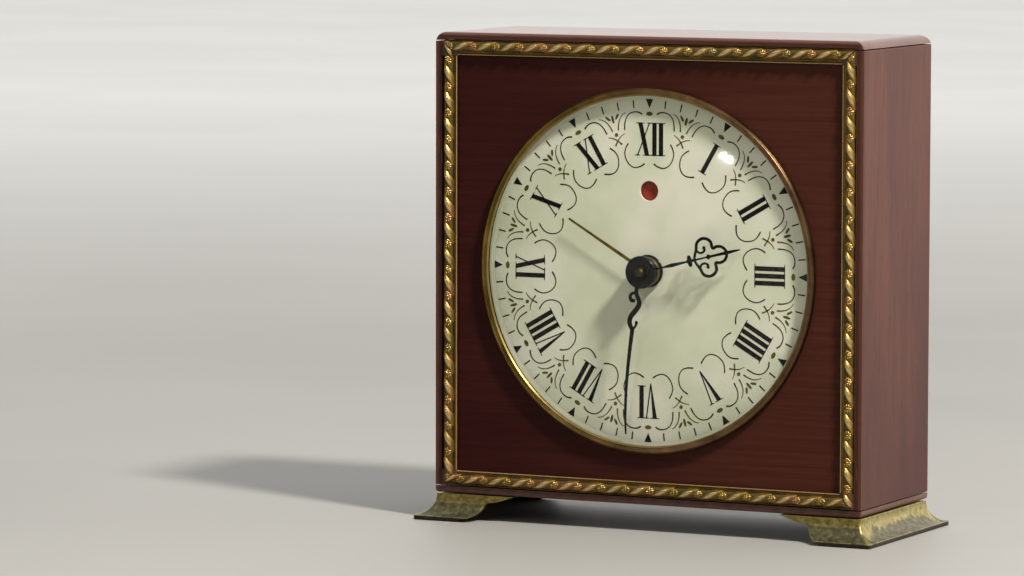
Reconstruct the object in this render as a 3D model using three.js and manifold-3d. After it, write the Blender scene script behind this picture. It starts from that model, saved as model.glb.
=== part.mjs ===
// Square wooden mantel alarm clock with a mains synchronous movement.
// Units are millimetres, +X is to the viewer's right, +Y runs from front to back, +Z is up.
// The origin is on the shelf, under the middle of the case.
import * as THREE from 'three';
import { mergeVertices } from 'three/addons/utils/BufferGeometryUtils.js';
import Module from 'manifold-3d';

const wasm = await Module();
wasm.setup();

// ---------------------------------------------------------------- driving dimensions
const CASE_WIDTH = 137;
const CASE_HEIGHT = 137;
const CASE_DEPTH = 50.8;
const BOARD = 7;
const GAP = 0.3;
const FOOT_HEIGHT = 8;
const FOOT_FLARE = 5.1;
const RIM = 2.1;
const PANEL_SET_BACK = 1.5;
const PANEL_THICKNESS = 4;
const DIAL_SET_BACK = 2.5;
const SIGHT_RADIUS = 51.2;
const BEZEL_RADIUS = 53.6;
const DIAL_RADIUS = 50.3;
const GLASS_RADIUS = 51.8;
const GLASS_THICKNESS = 1.1;
const FRONT_REACH = 35;
const MINUTE_LENGTH = 48.8;
const HOUR_LENGTH = 31.6;
const ALARM_LENGTH = 29;
const MINUTE_ANGLE = 188;
const HOUR_ANGLE = 76;
const ALARM_ANGLE = 300.5;
const INDICATOR_HEIGHT = 23.4;
const INDICATOR_RADIUS = 2.9;
const CORNER_ROUND = 3.2;
const LOWER_ROUND = 1.2;
const MINUTE_BEND_START = 16;
const MINUTE_DROP = 5.25;
const HOUR_BEND_START = 12;
const HOUR_DROP = 0.9;
const BEND_POWER = 2.6;
const FOOT_PILOT_RADIUS = 1.6;
const FOOT_PILOT_DEPTH = 6;
const COVER_PILOT_RADIUS = 1.2;
const COVER_PILOT_DEPTH = 9;

// ---------------------------------------------------------------- places that follow
const HALF_W = CASE_WIDTH / 2;
const HALF_D = CASE_DEPTH / 2;
const CASE_BOTTOM = FOOT_HEIGHT;
const CASE_TOP = FOOT_HEIGHT + CASE_HEIGHT;
const DIAL_Z = FOOT_HEIGHT + CASE_HEIGHT / 2;
const FRONT = -HALF_D;
const BACK = HALF_D;
const PANEL_FRONT = FRONT + PANEL_SET_BACK;
const PANEL_BACK = PANEL_FRONT + PANEL_THICKNESS;
const DIAL_FRONT = FRONT + DIAL_SET_BACK;
const DIAL_BACK = DIAL_FRONT + 0.6;
const PLATE_FRONT = PANEL_BACK + 1.3;
const PLATE_BACK = PLATE_FRONT + 1;
const REAR_PLATE_FRONT = PLATE_BACK + 10;
const REAR_PLATE_BACK = REAR_PLATE_FRONT + 1;
const COVER_FRONT = BACK - 3.2;
const COVER_BACK = BACK - 0.4;
const KNOB_FRONT = COVER_BACK + 0.6;
const KNOB_BACK = FRONT_REACH;
const ROUND = 48;

// Gear train: tooth counts, with every axis parallel to Y.
const CANNON_TEETH = 10;
const MINUTE_WHEEL_TEETH = 30;
const MINUTE_PINION_TEETH = 10;
const HOUR_WHEEL_TEETH = 40;
const CENTRE_WHEEL_TEETH = 40;
const THIRD_PINION_TEETH = 8;
const THIRD_WHEEL_TEETH = 32;
const MOTOR_PINION_TEETH = 8;
const ALARM_WHEEL_TEETH = 32;
const ALARM_PINION_TEETH = 8;
const SET_DISTANCE = 12;
const ALARM_DISTANCE = 12.5;
const THIRD_DISTANCE = 10.8;
const MOTOR_DISTANCE = 10;
const SET_DIRECTION = THREE.MathUtils.degToRad(-20);
const ALARM_DIRECTION = THREE.MathUtils.degToRad(200);
const THIRD_DIRECTION = THREE.MathUtils.degToRad(90);
const MOTOR_DIRECTION = THREE.MathUtils.degToRad(60);

const polar = (distance, direction) => new THREE.Vector2(
  distance * Math.cos(direction),
  distance * Math.sin(direction),
);
const CENTRE = new THREE.Vector2(0, 0);
const SET_AT = polar(SET_DISTANCE, SET_DIRECTION);
const ALARM_AT = polar(ALARM_DISTANCE, ALARM_DIRECTION);
const THIRD_AT = polar(THIRD_DISTANCE, THIRD_DIRECTION);
const MOTOR_AT = polar(MOTOR_DISTANCE, MOTOR_DIRECTION).add(THIRD_AT);
const STOP_AT = new THREE.Vector2(-27, -5);
const FLAG_PIVOT_AT = new THREE.Vector2(14, INDICATOR_HEIGHT);
const GROMMET_AT = new THREE.Vector2(28, -46);
const REED_CLAMP_AT = new THREE.Vector2(-8, -0.75);
const PILLARS_AT = [[-21, -13], [21, -13], [21, 31], [-21, 31]];
const PLATE_SCREWS_AT = [[42, 42], [-42, 42], [-42, -42], [42, -42]];
const COVER_SCREWS_AT = [[62.8, 44], [-62.8, 44], [-62.8, -44], [62.8, -44]];
const FOOT_SCREWS_AT = [[62, 14], [62, -14], [-62, 14], [-62, -14]];
const FOOT_FLANGE_Z = FOOT_HEIGHT - GAP - 1.3;

// ---------------------------------------------------------------- solids
// Signed volume of an indexed geometry: positive when its faces point outwards.
function signedVolume(geometry) {
  const p = geometry.attributes.position;
  const index = geometry.index.array;
  const a = new THREE.Vector3();
  const b = new THREE.Vector3();
  const c = new THREE.Vector3();
  let volume = 0;
  for (let i = 0; i < index.length; i += 3) {
    a.fromBufferAttribute(p, index[i]);
    b.fromBufferAttribute(p, index[i + 1]);
    c.fromBufferAttribute(p, index[i + 2]);
    volume += a.dot(b.cross(c)) / 6;
  }
  return volume;
}

// The same surface with shared corners merged, flat triangles dropped and faces turned outwards.
function welded(geometry) {
  const bare = geometry.clone();
  bare.deleteAttribute('normal');
  bare.deleteAttribute('uv');
  const merged = mergeVertices(bare, 1e-4);
  const source = merged.index.array;
  const kept = [];
  for (let i = 0; i < source.length; i += 3) {
    const [a, b, c] = [source[i], source[i + 1], source[i + 2]];
    if (a !== b && b !== c && c !== a) kept.push(a, b, c);
  }
  merged.setIndex(kept);
  if (signedVolume(merged) < 0) {
    for (let i = 0; i < kept.length; i += 3) [kept[i], kept[i + 1]] = [kept[i + 1], kept[i]];
    merged.setIndex(kept);
  }
  return merged;
}

function toManifold(geometry) {
  const merged = welded(geometry);
  return new wasm.Manifold(new wasm.Mesh({
    numProp: 3,
    vertProperties: new Float32Array(merged.attributes.position.array),
    triVerts: new Uint32Array(merged.index.array),
  }));
}

function fromManifold(solid) {
  const mesh = solid.getMesh();
  const geometry = new THREE.BufferGeometry();
  geometry.setAttribute('position', new THREE.BufferAttribute(mesh.vertProperties, 3));
  geometry.setIndex(new THREE.BufferAttribute(mesh.triVerts, 1));
  return geometry;
}

const join = (first, ...others) => fromManifold(
  others.reduce((solid, other) => solid.add(toManifold(other)), toManifold(first)),
);
const cut = (first, ...others) => fromManifold(
  others.reduce((solid, other) => solid.subtract(toManifold(other)), toManifold(first)),
);
const common = (first, ...others) => fromManifold(
  others.reduce((solid, other) => solid.intersect(toManifold(other)), toManifold(first)),
);

// A block between two opposite corners.
function block(low, high) {
  const geometry = new THREE.BoxGeometry(high[0] - low[0], high[1] - low[1], high[2] - low[2]);
  geometry.translate((low[0] + high[0]) / 2, (low[1] + high[1]) / 2, (low[2] + high[2]) / 2);
  return geometry;
}

// A flat outline drawn in X and Z as seen from the front, with its thickness along Y.
function sheet(shape, yFront, yBack, curveSegments = 8) {
  const geometry = new THREE.ExtrudeGeometry(shape, {
    depth: yBack - yFront,
    bevelEnabled: false,
    curveSegments,
  });
  geometry.rotateX(Math.PI / 2);
  geometry.translate(0, yBack, 0);
  return geometry;
}

// A turned piece about an axis parallel to Y. Each profile entry is [radius, y].
function turned(profile, segments = 14, at = CENTRE) {
  const geometry = new THREE.LatheGeometry(profile.map(([r, y]) => new THREE.Vector2(r, y)), segments);
  geometry.translate(at.x, 0, at.y);
  return geometry;
}

const rod = (radius, yFront, yBack, at = CENTRE, segments = 12) => turned(
  [[0, yFront], [radius, yFront], [radius, yBack], [0, yBack]], segments, at,
);

// A round bar standing along Z.
function uprightRod(radius, zLow, zHigh, x, y, segments = 12) {
  const geometry = new THREE.CylinderGeometry(radius, radius, zHigh - zLow, segments);
  geometry.rotateX(Math.PI / 2);
  geometry.translate(x, y, (zLow + zHigh) / 2);
  return geometry;
}

// A washer, pipe or ring: a rectangle revolved, closed on itself.
const ring = (inner, outer, yFront, yBack, at = CENTRE, segments = ROUND) => turned(
  [[inner, yFront], [outer, yFront], [outer, yBack], [inner, yBack], [inner, yFront]], segments, at,
);

function rectangle(xLow, zLow, xHigh, zHigh, radii = [0, 0, 0, 0]) {
  const [a, b, c, d] = radii;
  const shape = new THREE.Shape();
  shape.moveTo(xLow + a, zLow);
  shape.lineTo(xHigh - b, zLow);
  if (b) shape.absarc(xHigh - b, zLow + b, b, -Math.PI / 2, 0);
  shape.lineTo(xHigh, zHigh - c);
  if (c) shape.absarc(xHigh - c, zHigh - c, c, 0, Math.PI / 2);
  shape.lineTo(xLow + d, zHigh);
  if (d) shape.absarc(xLow + d, zHigh - d, d, Math.PI / 2, Math.PI);
  shape.lineTo(xLow, zLow + a);
  if (a) shape.absarc(xLow + a, zLow + a, a, Math.PI, Math.PI * 1.5);
  return shape;
}

// A toothed wheel with a tooth centred on the direction `phase`, from +X towards +Z.
function gear(teeth, pitchRadius, phase, yFront, yBack, at = CENTRE) {
  const module = 2 * pitchRadius / teeth;
  const root = pitchRadius - 1.2 * module;
  const tip = pitchRadius + 0.85 * module;
  const pitch = 2 * Math.PI / teeth;
  const corners = [[root, -0.29], [tip, -0.11], [tip, 0.11], [root, 0.29]];
  const points = [];
  for (let tooth = 0; tooth < teeth; tooth += 1) {
    for (const [radius, share] of corners) {
      const direction = phase + (tooth + share) * pitch;
      points.push(polar(radius, direction).add(at));
    }
  }
  return sheet(new THREE.Shape(points), yFront, yBack);
}

// ---------------------------------------------------------------- materials and scene
const finish = (color, roughness, metalness) => ({ color, roughness, metalness });
const FINISHES = {
  mahogany: finish(0x4a1f16, 0.38, 0),
  side_mahogany: finish(0x6d4638, 0.42, 0),
  gilt: finish(0xb08a3c, 0.35, 0.9),
  aged_brass: finish(0x8a6f35, 0.4, 0.9),
  foot_brass: finish(0x77713f, 0.5, 0.8),
  glass: finish(0xdfe6e0, 0.05, 0),
  cream: finish(0xd3d2b4, 0.6, 0),
  black: finish(0x14110f, 0.35, 0.2),
  brass: finish(0xb9973f, 0.35, 0.9),
  steel: finish(0x9a9c9d, 0.4, 0.9),
  red: finish(0x8c2a17, 0.6, 0),
  hardboard: finish(0x4b3524, 0.8, 0),
  plastic: finish(0x1d1a18, 0.4, 0),
  copper: finish(0x8f4a26, 0.5, 0.6),
};

const clock = new THREE.Group();
clock.name = 'mantel_alarm_clock';
const dialAxis = new THREE.Group();
dialAxis.position.z = DIAL_Z;
clock.add(dialAxis);

function piece(name, geometry, finishName, parent = clock) {
  const material = new THREE.MeshStandardMaterial(FINISHES[finishName]);
  const mesh = new THREE.Mesh(welded(geometry), material);
  mesh.name = name;
  parent.add(mesh);
  return mesh;
}

// ---------------------------------------------------------------- wooden case
// The outside of the case: two rounded outlines, seen from the front and from the side.
function caseEnvelope() {
  const frontOutline = rectangle(-HALF_W, CASE_BOTTOM, HALF_W, CASE_TOP, [
    LOWER_ROUND, LOWER_ROUND, CORNER_ROUND, CORNER_ROUND,
  ]);
  const sideOutline = rectangle(FRONT, CASE_BOTTOM, BACK, CASE_TOP, [0.8, 0.8, 3, 1.4]);
  const alongY = sheet(frontOutline, FRONT - 1, BACK + 1, 5);
  const alongX = new THREE.ExtrudeGeometry(sideOutline, {
    depth: CASE_WIDTH + 2,
    bevelEnabled: false,
    curveSegments: 5,
  });
  alongX.rotateX(Math.PI / 2);
  alongX.rotateZ(Math.PI / 2);
  alongX.translate(-HALF_W - 1, 0, 0);
  return common(alongY, alongX);
}

const TOP_LIP = 2.4;
const BOTTOM_LIP = 2;
const LEDGE = 3.5;
const INNER_W = HALF_W - BOARD;
const INNER_TOP = CASE_TOP - BOARD;
const INNER_BOTTOM = CASE_BOTTOM + BOARD;
const PANEL_HALF = HALF_W - RIM - GAP;

// The space that the front panel and the back cover take out of the four boards.
function caseHollow() {
  const frontRebate = block(
    [-PANEL_HALF - GAP, FRONT - 1, DIAL_Z - PANEL_HALF - GAP],
    [PANEL_HALF + GAP, PANEL_BACK + GAP, DIAL_Z + PANEL_HALF + GAP],
  );
  const backRebate = block(
    [-INNER_W - LEDGE, COVER_FRONT - GAP, INNER_BOTTOM - LEDGE],
    [INNER_W + LEDGE, BACK + 1, INNER_TOP + LEDGE],
  );
  return join(frontRebate, backRebate, block(
    [-INNER_W, FRONT - 1, INNER_BOTTOM],
    [INNER_W, BACK + 1, INNER_TOP],
  ));
}

function makeCase() {
  const envelope = caseEnvelope();
  const hollow = caseHollow();
  const yFar = HALF_D + 2;
  const xFar = HALF_W + 2;
  const topSeam = CASE_TOP - TOP_LIP;
  const bottomSeam = CASE_BOTTOM + BOTTOM_LIP;
  const topLip = block([-xFar, -yFar, topSeam], [xFar, yFar, CASE_TOP + 2]);
  const topTongue = block([-INNER_W + GAP, -yFar, INNER_TOP], [INNER_W - GAP, yFar, CASE_TOP]);
  piece('top_board', cut(common(join(topLip, topTongue), envelope), hollow), 'mahogany');

  const bottomLip = block([-xFar, -yFar, CASE_BOTTOM - 2], [xFar, yFar, bottomSeam]);
  const bottomTongue = block([-INNER_W + GAP, -yFar, CASE_BOTTOM], [INNER_W - GAP, yFar, INNER_BOTTOM]);
  const footPilot = ([x, y]) => uprightRod(
    FOOT_PILOT_RADIUS, CASE_BOTTOM - 1, CASE_BOTTOM + FOOT_PILOT_DEPTH, x, y,
  );
  const bottom = common(join(bottomLip, bottomTongue), envelope);
  piece('bottom_board', cut(bottom, hollow, ...FOOT_SCREWS_AT.map(footPilot)), 'mahogany');

  for (const [name, side] of [['left_side', -1], ['right_side', 1]]) {
    const outer = side * xFar;
    const inner = side * INNER_W;
    const upright = block(
      [Math.min(outer, inner), -yFar, bottomSeam + GAP],
      [Math.max(outer, inner), yFar, topSeam - GAP],
    );
    const screwHoles = COVER_SCREWS_AT
      .filter(([x]) => x * side > 0)
      .map(([x, z]) => {
        const at = new THREE.Vector2(x, z);
        const pilot = rod(COVER_PILOT_RADIUS, COVER_FRONT - COVER_PILOT_DEPTH, BACK, at);
        pilot.translate(0, 0, DIAL_Z);
        return pilot;
      });
    const footHoles = FOOT_SCREWS_AT.filter(([x]) => x * side > 0).map(footPilot);
    const board = cut(common(upright, envelope), hollow, ...screwHoles, ...footHoles);
    piece(name, board, 'side_mahogany');
  }
}

const PANEL_HOLE_RADIUS = 52.7;
function makeFrontPanel() {
  const shape = rectangle(-PANEL_HALF, -PANEL_HALF, PANEL_HALF, PANEL_HALF);
  shape.holes.push(new THREE.Path().absarc(0, 0, PANEL_HOLE_RADIUS, 0, Math.PI * 2, true));
  const pilots = PLATE_SCREWS_AT.map(([x, z]) => rod(
    1.3, PANEL_FRONT + 1, PANEL_BACK + 1, new THREE.Vector2(x, z), 12,
  ));
  const panel = cut(sheet(shape, PANEL_FRONT, PANEL_BACK, ROUND / 2), ...pilots);
  piece('front_panel', panel, 'mahogany', dialAxis);
}

// Gilt frame: a round bead outside and a thin flat fillet inside, mitred at the corners.
const BEAD_WIDTH = 3.2;
const BEAD_RISE = 2.4;
const FILLET_WIDTH = 1;
const FILLET_RISE = 0.9;
function makeMouldings() {
  const outer = PANEL_HALF - GAP / 2;
  const base = PANEL_FRONT - GAP;
  const half = HALF_W;
  const profile = new THREE.Shape();
  profile.moveTo(-base, outer);
  profile.lineTo(-base + 0.7, outer);
  profile.absellipse(
    -base + 0.7, outer - BEAD_WIDTH / 2, BEAD_RISE - 0.7, BEAD_WIDTH / 2,
    Math.PI / 2, -Math.PI / 2, true, 0,
  );
  profile.lineTo(-base + FILLET_RISE, outer - BEAD_WIDTH);
  profile.lineTo(-base + FILLET_RISE, outer - BEAD_WIDTH - FILLET_WIDTH);
  profile.lineTo(-base, outer - BEAD_WIDTH - FILLET_WIDTH);
  const strip = new THREE.ExtrudeGeometry(profile, {
    depth: 2 * half,
    bevelEnabled: false,
    curveSegments: 6,
  });
  strip.translate(0, 0, -half);
  strip.rotateX(Math.PI / 2);
  strip.rotateZ(-Math.PI / 2);
  const back = GAP / Math.SQRT2;
  const wedge = sheet(new THREE.Shape([
    new THREE.Vector2(0, back),
    new THREE.Vector2(half, half + back),
    new THREE.Vector2(-half, half + back),
  ]), FRONT - 5, PANEL_FRONT);
  const mitred = common(strip, wedge);
  ['top', 'right', 'bottom', 'left'].forEach((name, quarter) => {
    const mesh = piece(`moulding_${name}`, mitred, 'gilt', dialAxis);
    mesh.rotation.y = quarter * Math.PI / 2;
  });
}

// ---------------------------------------------------------------- bracket feet
// A flared skirt round the whole case, from which each foot is cut.
function skirt() {
  const top = FOOT_HEIGHT - GAP;
  const profile = [
    [-0.1, top],
    [0, 6.4],
    [0.4, 5],
    [1.25, 3.5],
    [2.7, 2.2],
    [4.3, 1.45],
    [FOOT_FLARE, 1.4],
    [FOOT_FLARE, 0],
    [3.8, 0],
    [2, 0.95],
    [0.4, 2.3],
    [-0.9, 4.2],
    [-1.5, FOOT_FLANGE_Z],
    [-11, FOOT_FLANGE_Z],
    [-11, top],
    [-0.1, top],
  ];
  const corner = profile.map(([out, z]) => new THREE.Vector2((HALF_D + out) * Math.SQRT2, z));
  const geometry = new THREE.LatheGeometry(corner, 4, Math.PI / 4);
  geometry.rotateX(Math.PI / 2);
  const position = geometry.attributes.position;
  for (let i = 0; i < position.count; i += 1) {
    const x = position.getX(i);
    position.setX(i, x + Math.sign(x) * (HALF_W - HALF_D));
  }
  return geometry;
}

// The bracket's edge seen from the front: a quarter curve up to a cusp, then a long flat curve.
const FOOT_BASE_IN = 7.8;
const FOOT_CUSP_IN = 16.3;
const FOOT_TIP_IN = 26;
const FOOT_CUSP_Z = 5.2;
function footRegion(side) {
  const x = (inwards) => side * (HALF_W - inwards);
  const shape = new THREE.Shape();
  shape.moveTo(x(-FOOT_FLARE - 2), -1);
  shape.lineTo(x(FOOT_BASE_IN), -1);
  shape.lineTo(x(FOOT_BASE_IN), 0.3);
  const steps = 6;
  for (let i = 1; i <= steps; i += 1) {
    const turn = i / steps * Math.PI / 2;
    const inwards = FOOT_BASE_IN + (FOOT_CUSP_IN - FOOT_BASE_IN) * Math.sin(turn);
    shape.lineTo(x(inwards), 0.3 + (FOOT_CUSP_Z - 0.3) * (1 - Math.cos(turn)));
  }
  shape.lineTo(x(FOOT_CUSP_IN + 0.7), FOOT_CUSP_Z + 0.3);
  shape.quadraticCurveTo(x(FOOT_CUSP_IN + 5), FOOT_CUSP_Z + 0.6, x(FOOT_TIP_IN), FOOT_HEIGHT);
  shape.lineTo(x(FOOT_TIP_IN), FOOT_HEIGHT + 1);
  shape.lineTo(x(-FOOT_FLARE - 2), FOOT_HEIGHT + 1);
  const yFar = HALF_D + FOOT_FLARE + 2;
  return sheet(shape, -yFar, yFar, 6);
}

function makeFeet() {
  for (const [name, side] of [['left_foot', -1], ['right_foot', 1]]) {
    const holes = FOOT_SCREWS_AT
      .filter(([x]) => x * side > 0)
      .map(([x, y]) => uprightRod(FOOT_PILOT_RADIUS, FOOT_FLANGE_Z - 1, FOOT_HEIGHT + 1, x, y));
    piece(name, cut(common(skirt(), footRegion(side)), ...holes), 'foot_brass');
  }
  FOOT_SCREWS_AT.forEach(([x, y], i) => {
    const head = uprightRod(2.8, FOOT_FLANGE_Z - GAP - 1.3, FOOT_FLANGE_Z - GAP, x, y, 10);
    const shank = uprightRod(1.3, FOOT_FLANGE_Z - GAP - 0.5, CASE_BOTTOM + 5.5, x, y, 10);
    piece(`foot_screw_${i + 1}`, join(head, shank), 'steel');
  });
}

// ---------------------------------------------------------------- bezel, glass and dial
function makeBezel() {
  const base = PANEL_FRONT - GAP;
  const crest = DIAL_FRONT - 3.1;
  const lipFront = DIAL_FRONT - 2.4;
  const lipBack = DIAL_FRONT - 2;
  const skirtBack = PANEL_BACK + 0.7;
  const profile = [
    [SIGHT_RADIUS, lipFront],
    [52.4, crest + 0.35],
    [53, crest],
    [BEZEL_RADIUS, crest + 0.5],
    [BEZEL_RADIUS, base],
    [52.4, base],
    [52.4, skirtBack],
    [52.05, skirtBack],
    [52.05, lipBack],
    [SIGHT_RADIUS, lipBack],
    [SIGHT_RADIUS, lipFront],
  ];
  const tabs = [0, 1, 2, 3].map((quarter) => {
    const tab = block([-4, PANEL_BACK + GAP, 52.1], [4, skirtBack, 56]);
    tab.rotateY(quarter * Math.PI / 2);
    return tab;
  });
  piece('bezel', join(turned(profile, ROUND), ...tabs), 'aged_brass', dialAxis);
}

// A domed shell of even thickness that meets the bezel's lip at its edge.
function makeGlass() {
  const edgeFront = DIAL_FRONT - 1.7;
  const rise = edgeFront + FRONT_REACH;
  const sphere = (GLASS_RADIUS ** 2 + rise ** 2) / (2 * rise);
  const centre = -FRONT_REACH + sphere;
  const steps = 5;
  const outer = [];
  const inner = [];
  for (let i = 0; i <= steps; i += 1) {
    const radius = GLASS_RADIUS * i / steps;
    outer.push([radius, centre - Math.sqrt(sphere ** 2 - radius ** 2)]);
    inner.unshift([radius, centre - Math.sqrt((sphere - GLASS_THICKNESS) ** 2 - radius ** 2)]);
  }
  piece('glass', turned([...outer, ...inner], ROUND), 'glass', dialAxis);
}

function makeDial() {
  const edgeRing = ring(DIAL_RADIUS + 0.2, GLASS_RADIUS, DIAL_FRONT - 0.35, DIAL_FRONT + 1);
  piece('dial_ring', edgeRing, 'cream', dialAxis);
  const shape = new THREE.Shape().absarc(0, 0, DIAL_RADIUS, 0, Math.PI * 2);
  const centreHole = new THREE.Path().absarc(0, 0, 3.3, 0, Math.PI * 2, true);
  const flagWindow = new THREE.Path().absarc(0, INDICATOR_HEIGHT, INDICATOR_RADIUS, 0, Math.PI * 2, true);
  shape.holes.push(centreHole, flagWindow);
  piece('dial_plate', sheet(shape, DIAL_FRONT, DIAL_BACK, 20), 'cream', dialAxis);
}

// ---------------------------------------------------------------- hands
// Heights are measured forward from the dial.
const above = (height) => DIAL_FRONT - height;
const HAND_THICKNESS = 0.35;
const ALARM_LEVEL = 2.1;
const HOUR_LEVEL = 4.2;
const MINUTE_LEVEL = 6;

const outline = (points) => new THREE.Shape(points.map(([x, z]) => new THREE.Vector2(x, z)));

// An outline given by its right half, from its lower end to its upper end.
const symmetric = (half) => outline([
  ...half.map(([x, z]) => [-x, z]),
  ...half.slice().reverse(),
]);

// Both edges of a curved stroke of changing width, as one closed outline.
function stroke(points, widths) {
  const curve = new THREE.CatmullRomCurve3(points.map(([x, z]) => new THREE.Vector3(x, z, 0)));
  const steps = (points.length - 1) * 2;
  const left = [];
  const right = [];
  for (let i = 0; i <= steps; i += 1) {
    const t = i / steps;
    const at = curve.getPoint(t);
    const along = curve.getTangent(t);
    const place = t * (widths.length - 1);
    const low = Math.min(Math.floor(place), widths.length - 2);
    const half = THREE.MathUtils.lerp(widths[low], widths[low + 1], place - low) / 2;
    left.push(new THREE.Vector2(at.x - along.y * half, at.y + along.x * half));
    right.unshift(new THREE.Vector2(at.x + along.y * half, at.y - along.x * half));
  }
  return new THREE.Shape([...left, ...right]);
}

// Bends a flat hand towards the dial, so that it follows the falling inside of the glass.
function bent(geometry, drop, start, end) {
  const position = geometry.attributes.position;
  for (let i = 0; i < position.count; i += 1) {
    const along = Math.max(0, (position.getZ(i) - start) / (end - start));
    position.setY(i, position.getY(i) + drop * along ** BEND_POWER);
  }
  return geometry;
}

function makeMinuteHand() {
  const front = above(MINUTE_LEVEL + HAND_THICKNESS);
  const back = above(MINUTE_LEVEL);
  const neck = stroke([[0, 3], [0.4, 5.4], [-0.1, 6.9], [-1, 8.2], [-0.9, 9.6], [-0.3, 10.9],
    [0.7, 12.7], [1.25, 14.2], [0.9, 15.6], [0.1, 16.8]], [1.2, 0.9, 1.2, 1.3, 1.2, 1]);
  const curl = stroke(
    [[0.1, 6.5], [1.2, 6.4], [2, 7.4], [1.6, 8.6], [0.8, 8.5]],
    [0.7, 0.8, 0.9, 0.9, 0.8],
  );
  const barb = stroke([[0.4, 16.4], [-0.6, 15.8], [-1, 14.7]], [0.7, 0.6, 0.9]);
  const pointer = outline([
    [-0.55, 16.2], [-0.45, 26], [-0.38, 34], [-0.32, 41], [-0.25, MINUTE_LENGTH - 0.3],
    [0, MINUTE_LENGTH],
    [0.25, MINUTE_LENGTH - 0.3], [0.32, 41], [0.38, 34], [0.45, 26], [0.55, 16.2],
  ]);
  const strokes = [neck, curl, barb, pointer].map((shape) => sheet(shape, front, back, 4));
  const blade = bent(join(...strokes), MINUTE_DROP, MINUTE_BEND_START, MINUTE_LENGTH);
  const hub = turned([
    [1.3, above(5)], [1.3, above(6.6)], [3.9, above(6.4)], [4.8, above(6.1)], [4.8, above(5.2)],
    [4.2, above(5)], [1.3, above(5)],
  ], 20);
  const mesh = piece('minute_hand', join(hub, blade), 'black', dialAxis);
  mesh.rotation.y = THREE.MathUtils.degToRad(MINUTE_ANGLE);
}

function makeHourHand() {
  const front = above(HOUR_LEVEL + HAND_THICKNESS);
  const back = above(HOUR_LEVEL);
  const shaft = symmetric([
    [0.4, 3], [0.25, 6.6], [0.5, 9.5], [0.25, 14.4], [1.1, 14.9], [1.7, 15.5], [1.1, 16.1],
    [0.3, 16.5], [0.35, 17.2],
  ]);
  const leaf = (grow) => {
    const shape = new THREE.Shape();
    shape.moveTo(0, 16.9 - grow);
    shape.lineTo(2.6 + grow, 18.6 - grow / 2);
    shape.absarc(2.95, 21, 2.45 + grow, -1.1, 1.75);
    shape.absarc(0, 24.8, 2.1 + grow, 0, Math.PI);
    shape.absarc(-2.95, 21, 2.45 + grow, Math.PI - 1.75, Math.PI + 1.1);
    shape.lineTo(-2.6 - grow, 18.6 - grow / 2);
    return sheet(shape, front - (grow ? 0 : 1), back + (grow ? 0 : 1), 5);
  };
  const bar = sheet(symmetric([
    [0.25, 16.8], [0.25, 20.8], [0.75, 21.5], [0.35, 22.4], [0.4, 27], [0.25, HOUR_LENGTH - 0.2],
    [0.03, HOUR_LENGTH],
  ]), front, back);
  const scrolls = [-1, 1].map((side) => sheet(stroke(
    [[2.2, 18.1], [1.6, 19.5], [2, 20.7], [2.9, 20.9]].map(([x, z]) => [side * x, z]),
    [0.7, 0.6, 0.7, 0.9],
  ), front, back));
  const blade = join(cut(leaf(0.8), leaf(0)), bar, sheet(shaft, front, back), ...scrolls);
  bent(blade, HOUR_DROP, HOUR_BEND_START, HOUR_LENGTH);
  const hub = turned([
    [2.25, above(2.9)], [2.25, above(4.75)], [4.1, above(4.75)], [4.5, above(4.5)], [4.5, above(3.2)],
    [4.2, above(2.9)], [2.25, above(2.9)],
  ], 20);
  const mesh = piece('hour_hand', join(hub, blade), 'black', dialAxis);
  mesh.rotation.y = THREE.MathUtils.degToRad(HOUR_ANGLE);
}

function makeAlarmHand() {
  const blade = sheet(
    symmetric([[0.45, 3.6], [0.4, 14], [0.27, ALARM_LENGTH]]),
    above(ALARM_LEVEL + HAND_THICKNESS), above(ALARM_LEVEL),
  );
  const collet = turned([
    [3.1, above(0.4)], [3.1, above(2.6)], [4.3, above(2.6)], [4.3, above(1.4)], [4.8, above(1.2)],
    [4.8, above(0.4)], [3.1, above(0.4)],
  ], 20);
  const mesh = piece('alarm_hand', join(collet, blade), 'brass', dialAxis);
  mesh.rotation.y = THREE.MathUtils.degToRad(ALARM_ANGLE);
}

function makeCentreNut() {
  piece('centre_nut', turned([
    [0, above(7.4)], [0.8, above(7.3)], [1.5, above(6.95)], [1.6, above(6.9)], [0, above(6.9)],
  ], 20), 'aged_brass', dialAxis);
}

// ---------------------------------------------------------------- motion work under the dial
const ALARM_WHEEL_Y = [DIAL_BACK + 0.35, DIAL_BACK + 0.9];
const HOUR_WHEEL_Y = [DIAL_BACK + 1.25, DIAL_BACK + 1.9];
const MINUTE_WHEEL_Y = [DIAL_BACK + 2.3, DIAL_BACK + 2.95];
const CENTRE_WHEEL_Y = [PLATE_BACK + 2.2, PLATE_BACK + 3];
const THIRD_WHEEL_Y = [PLATE_BACK + 6.4, PLATE_BACK + 7.2];
const share = (teeth, mate, distance) => distance * teeth / (teeth + mate);

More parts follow.
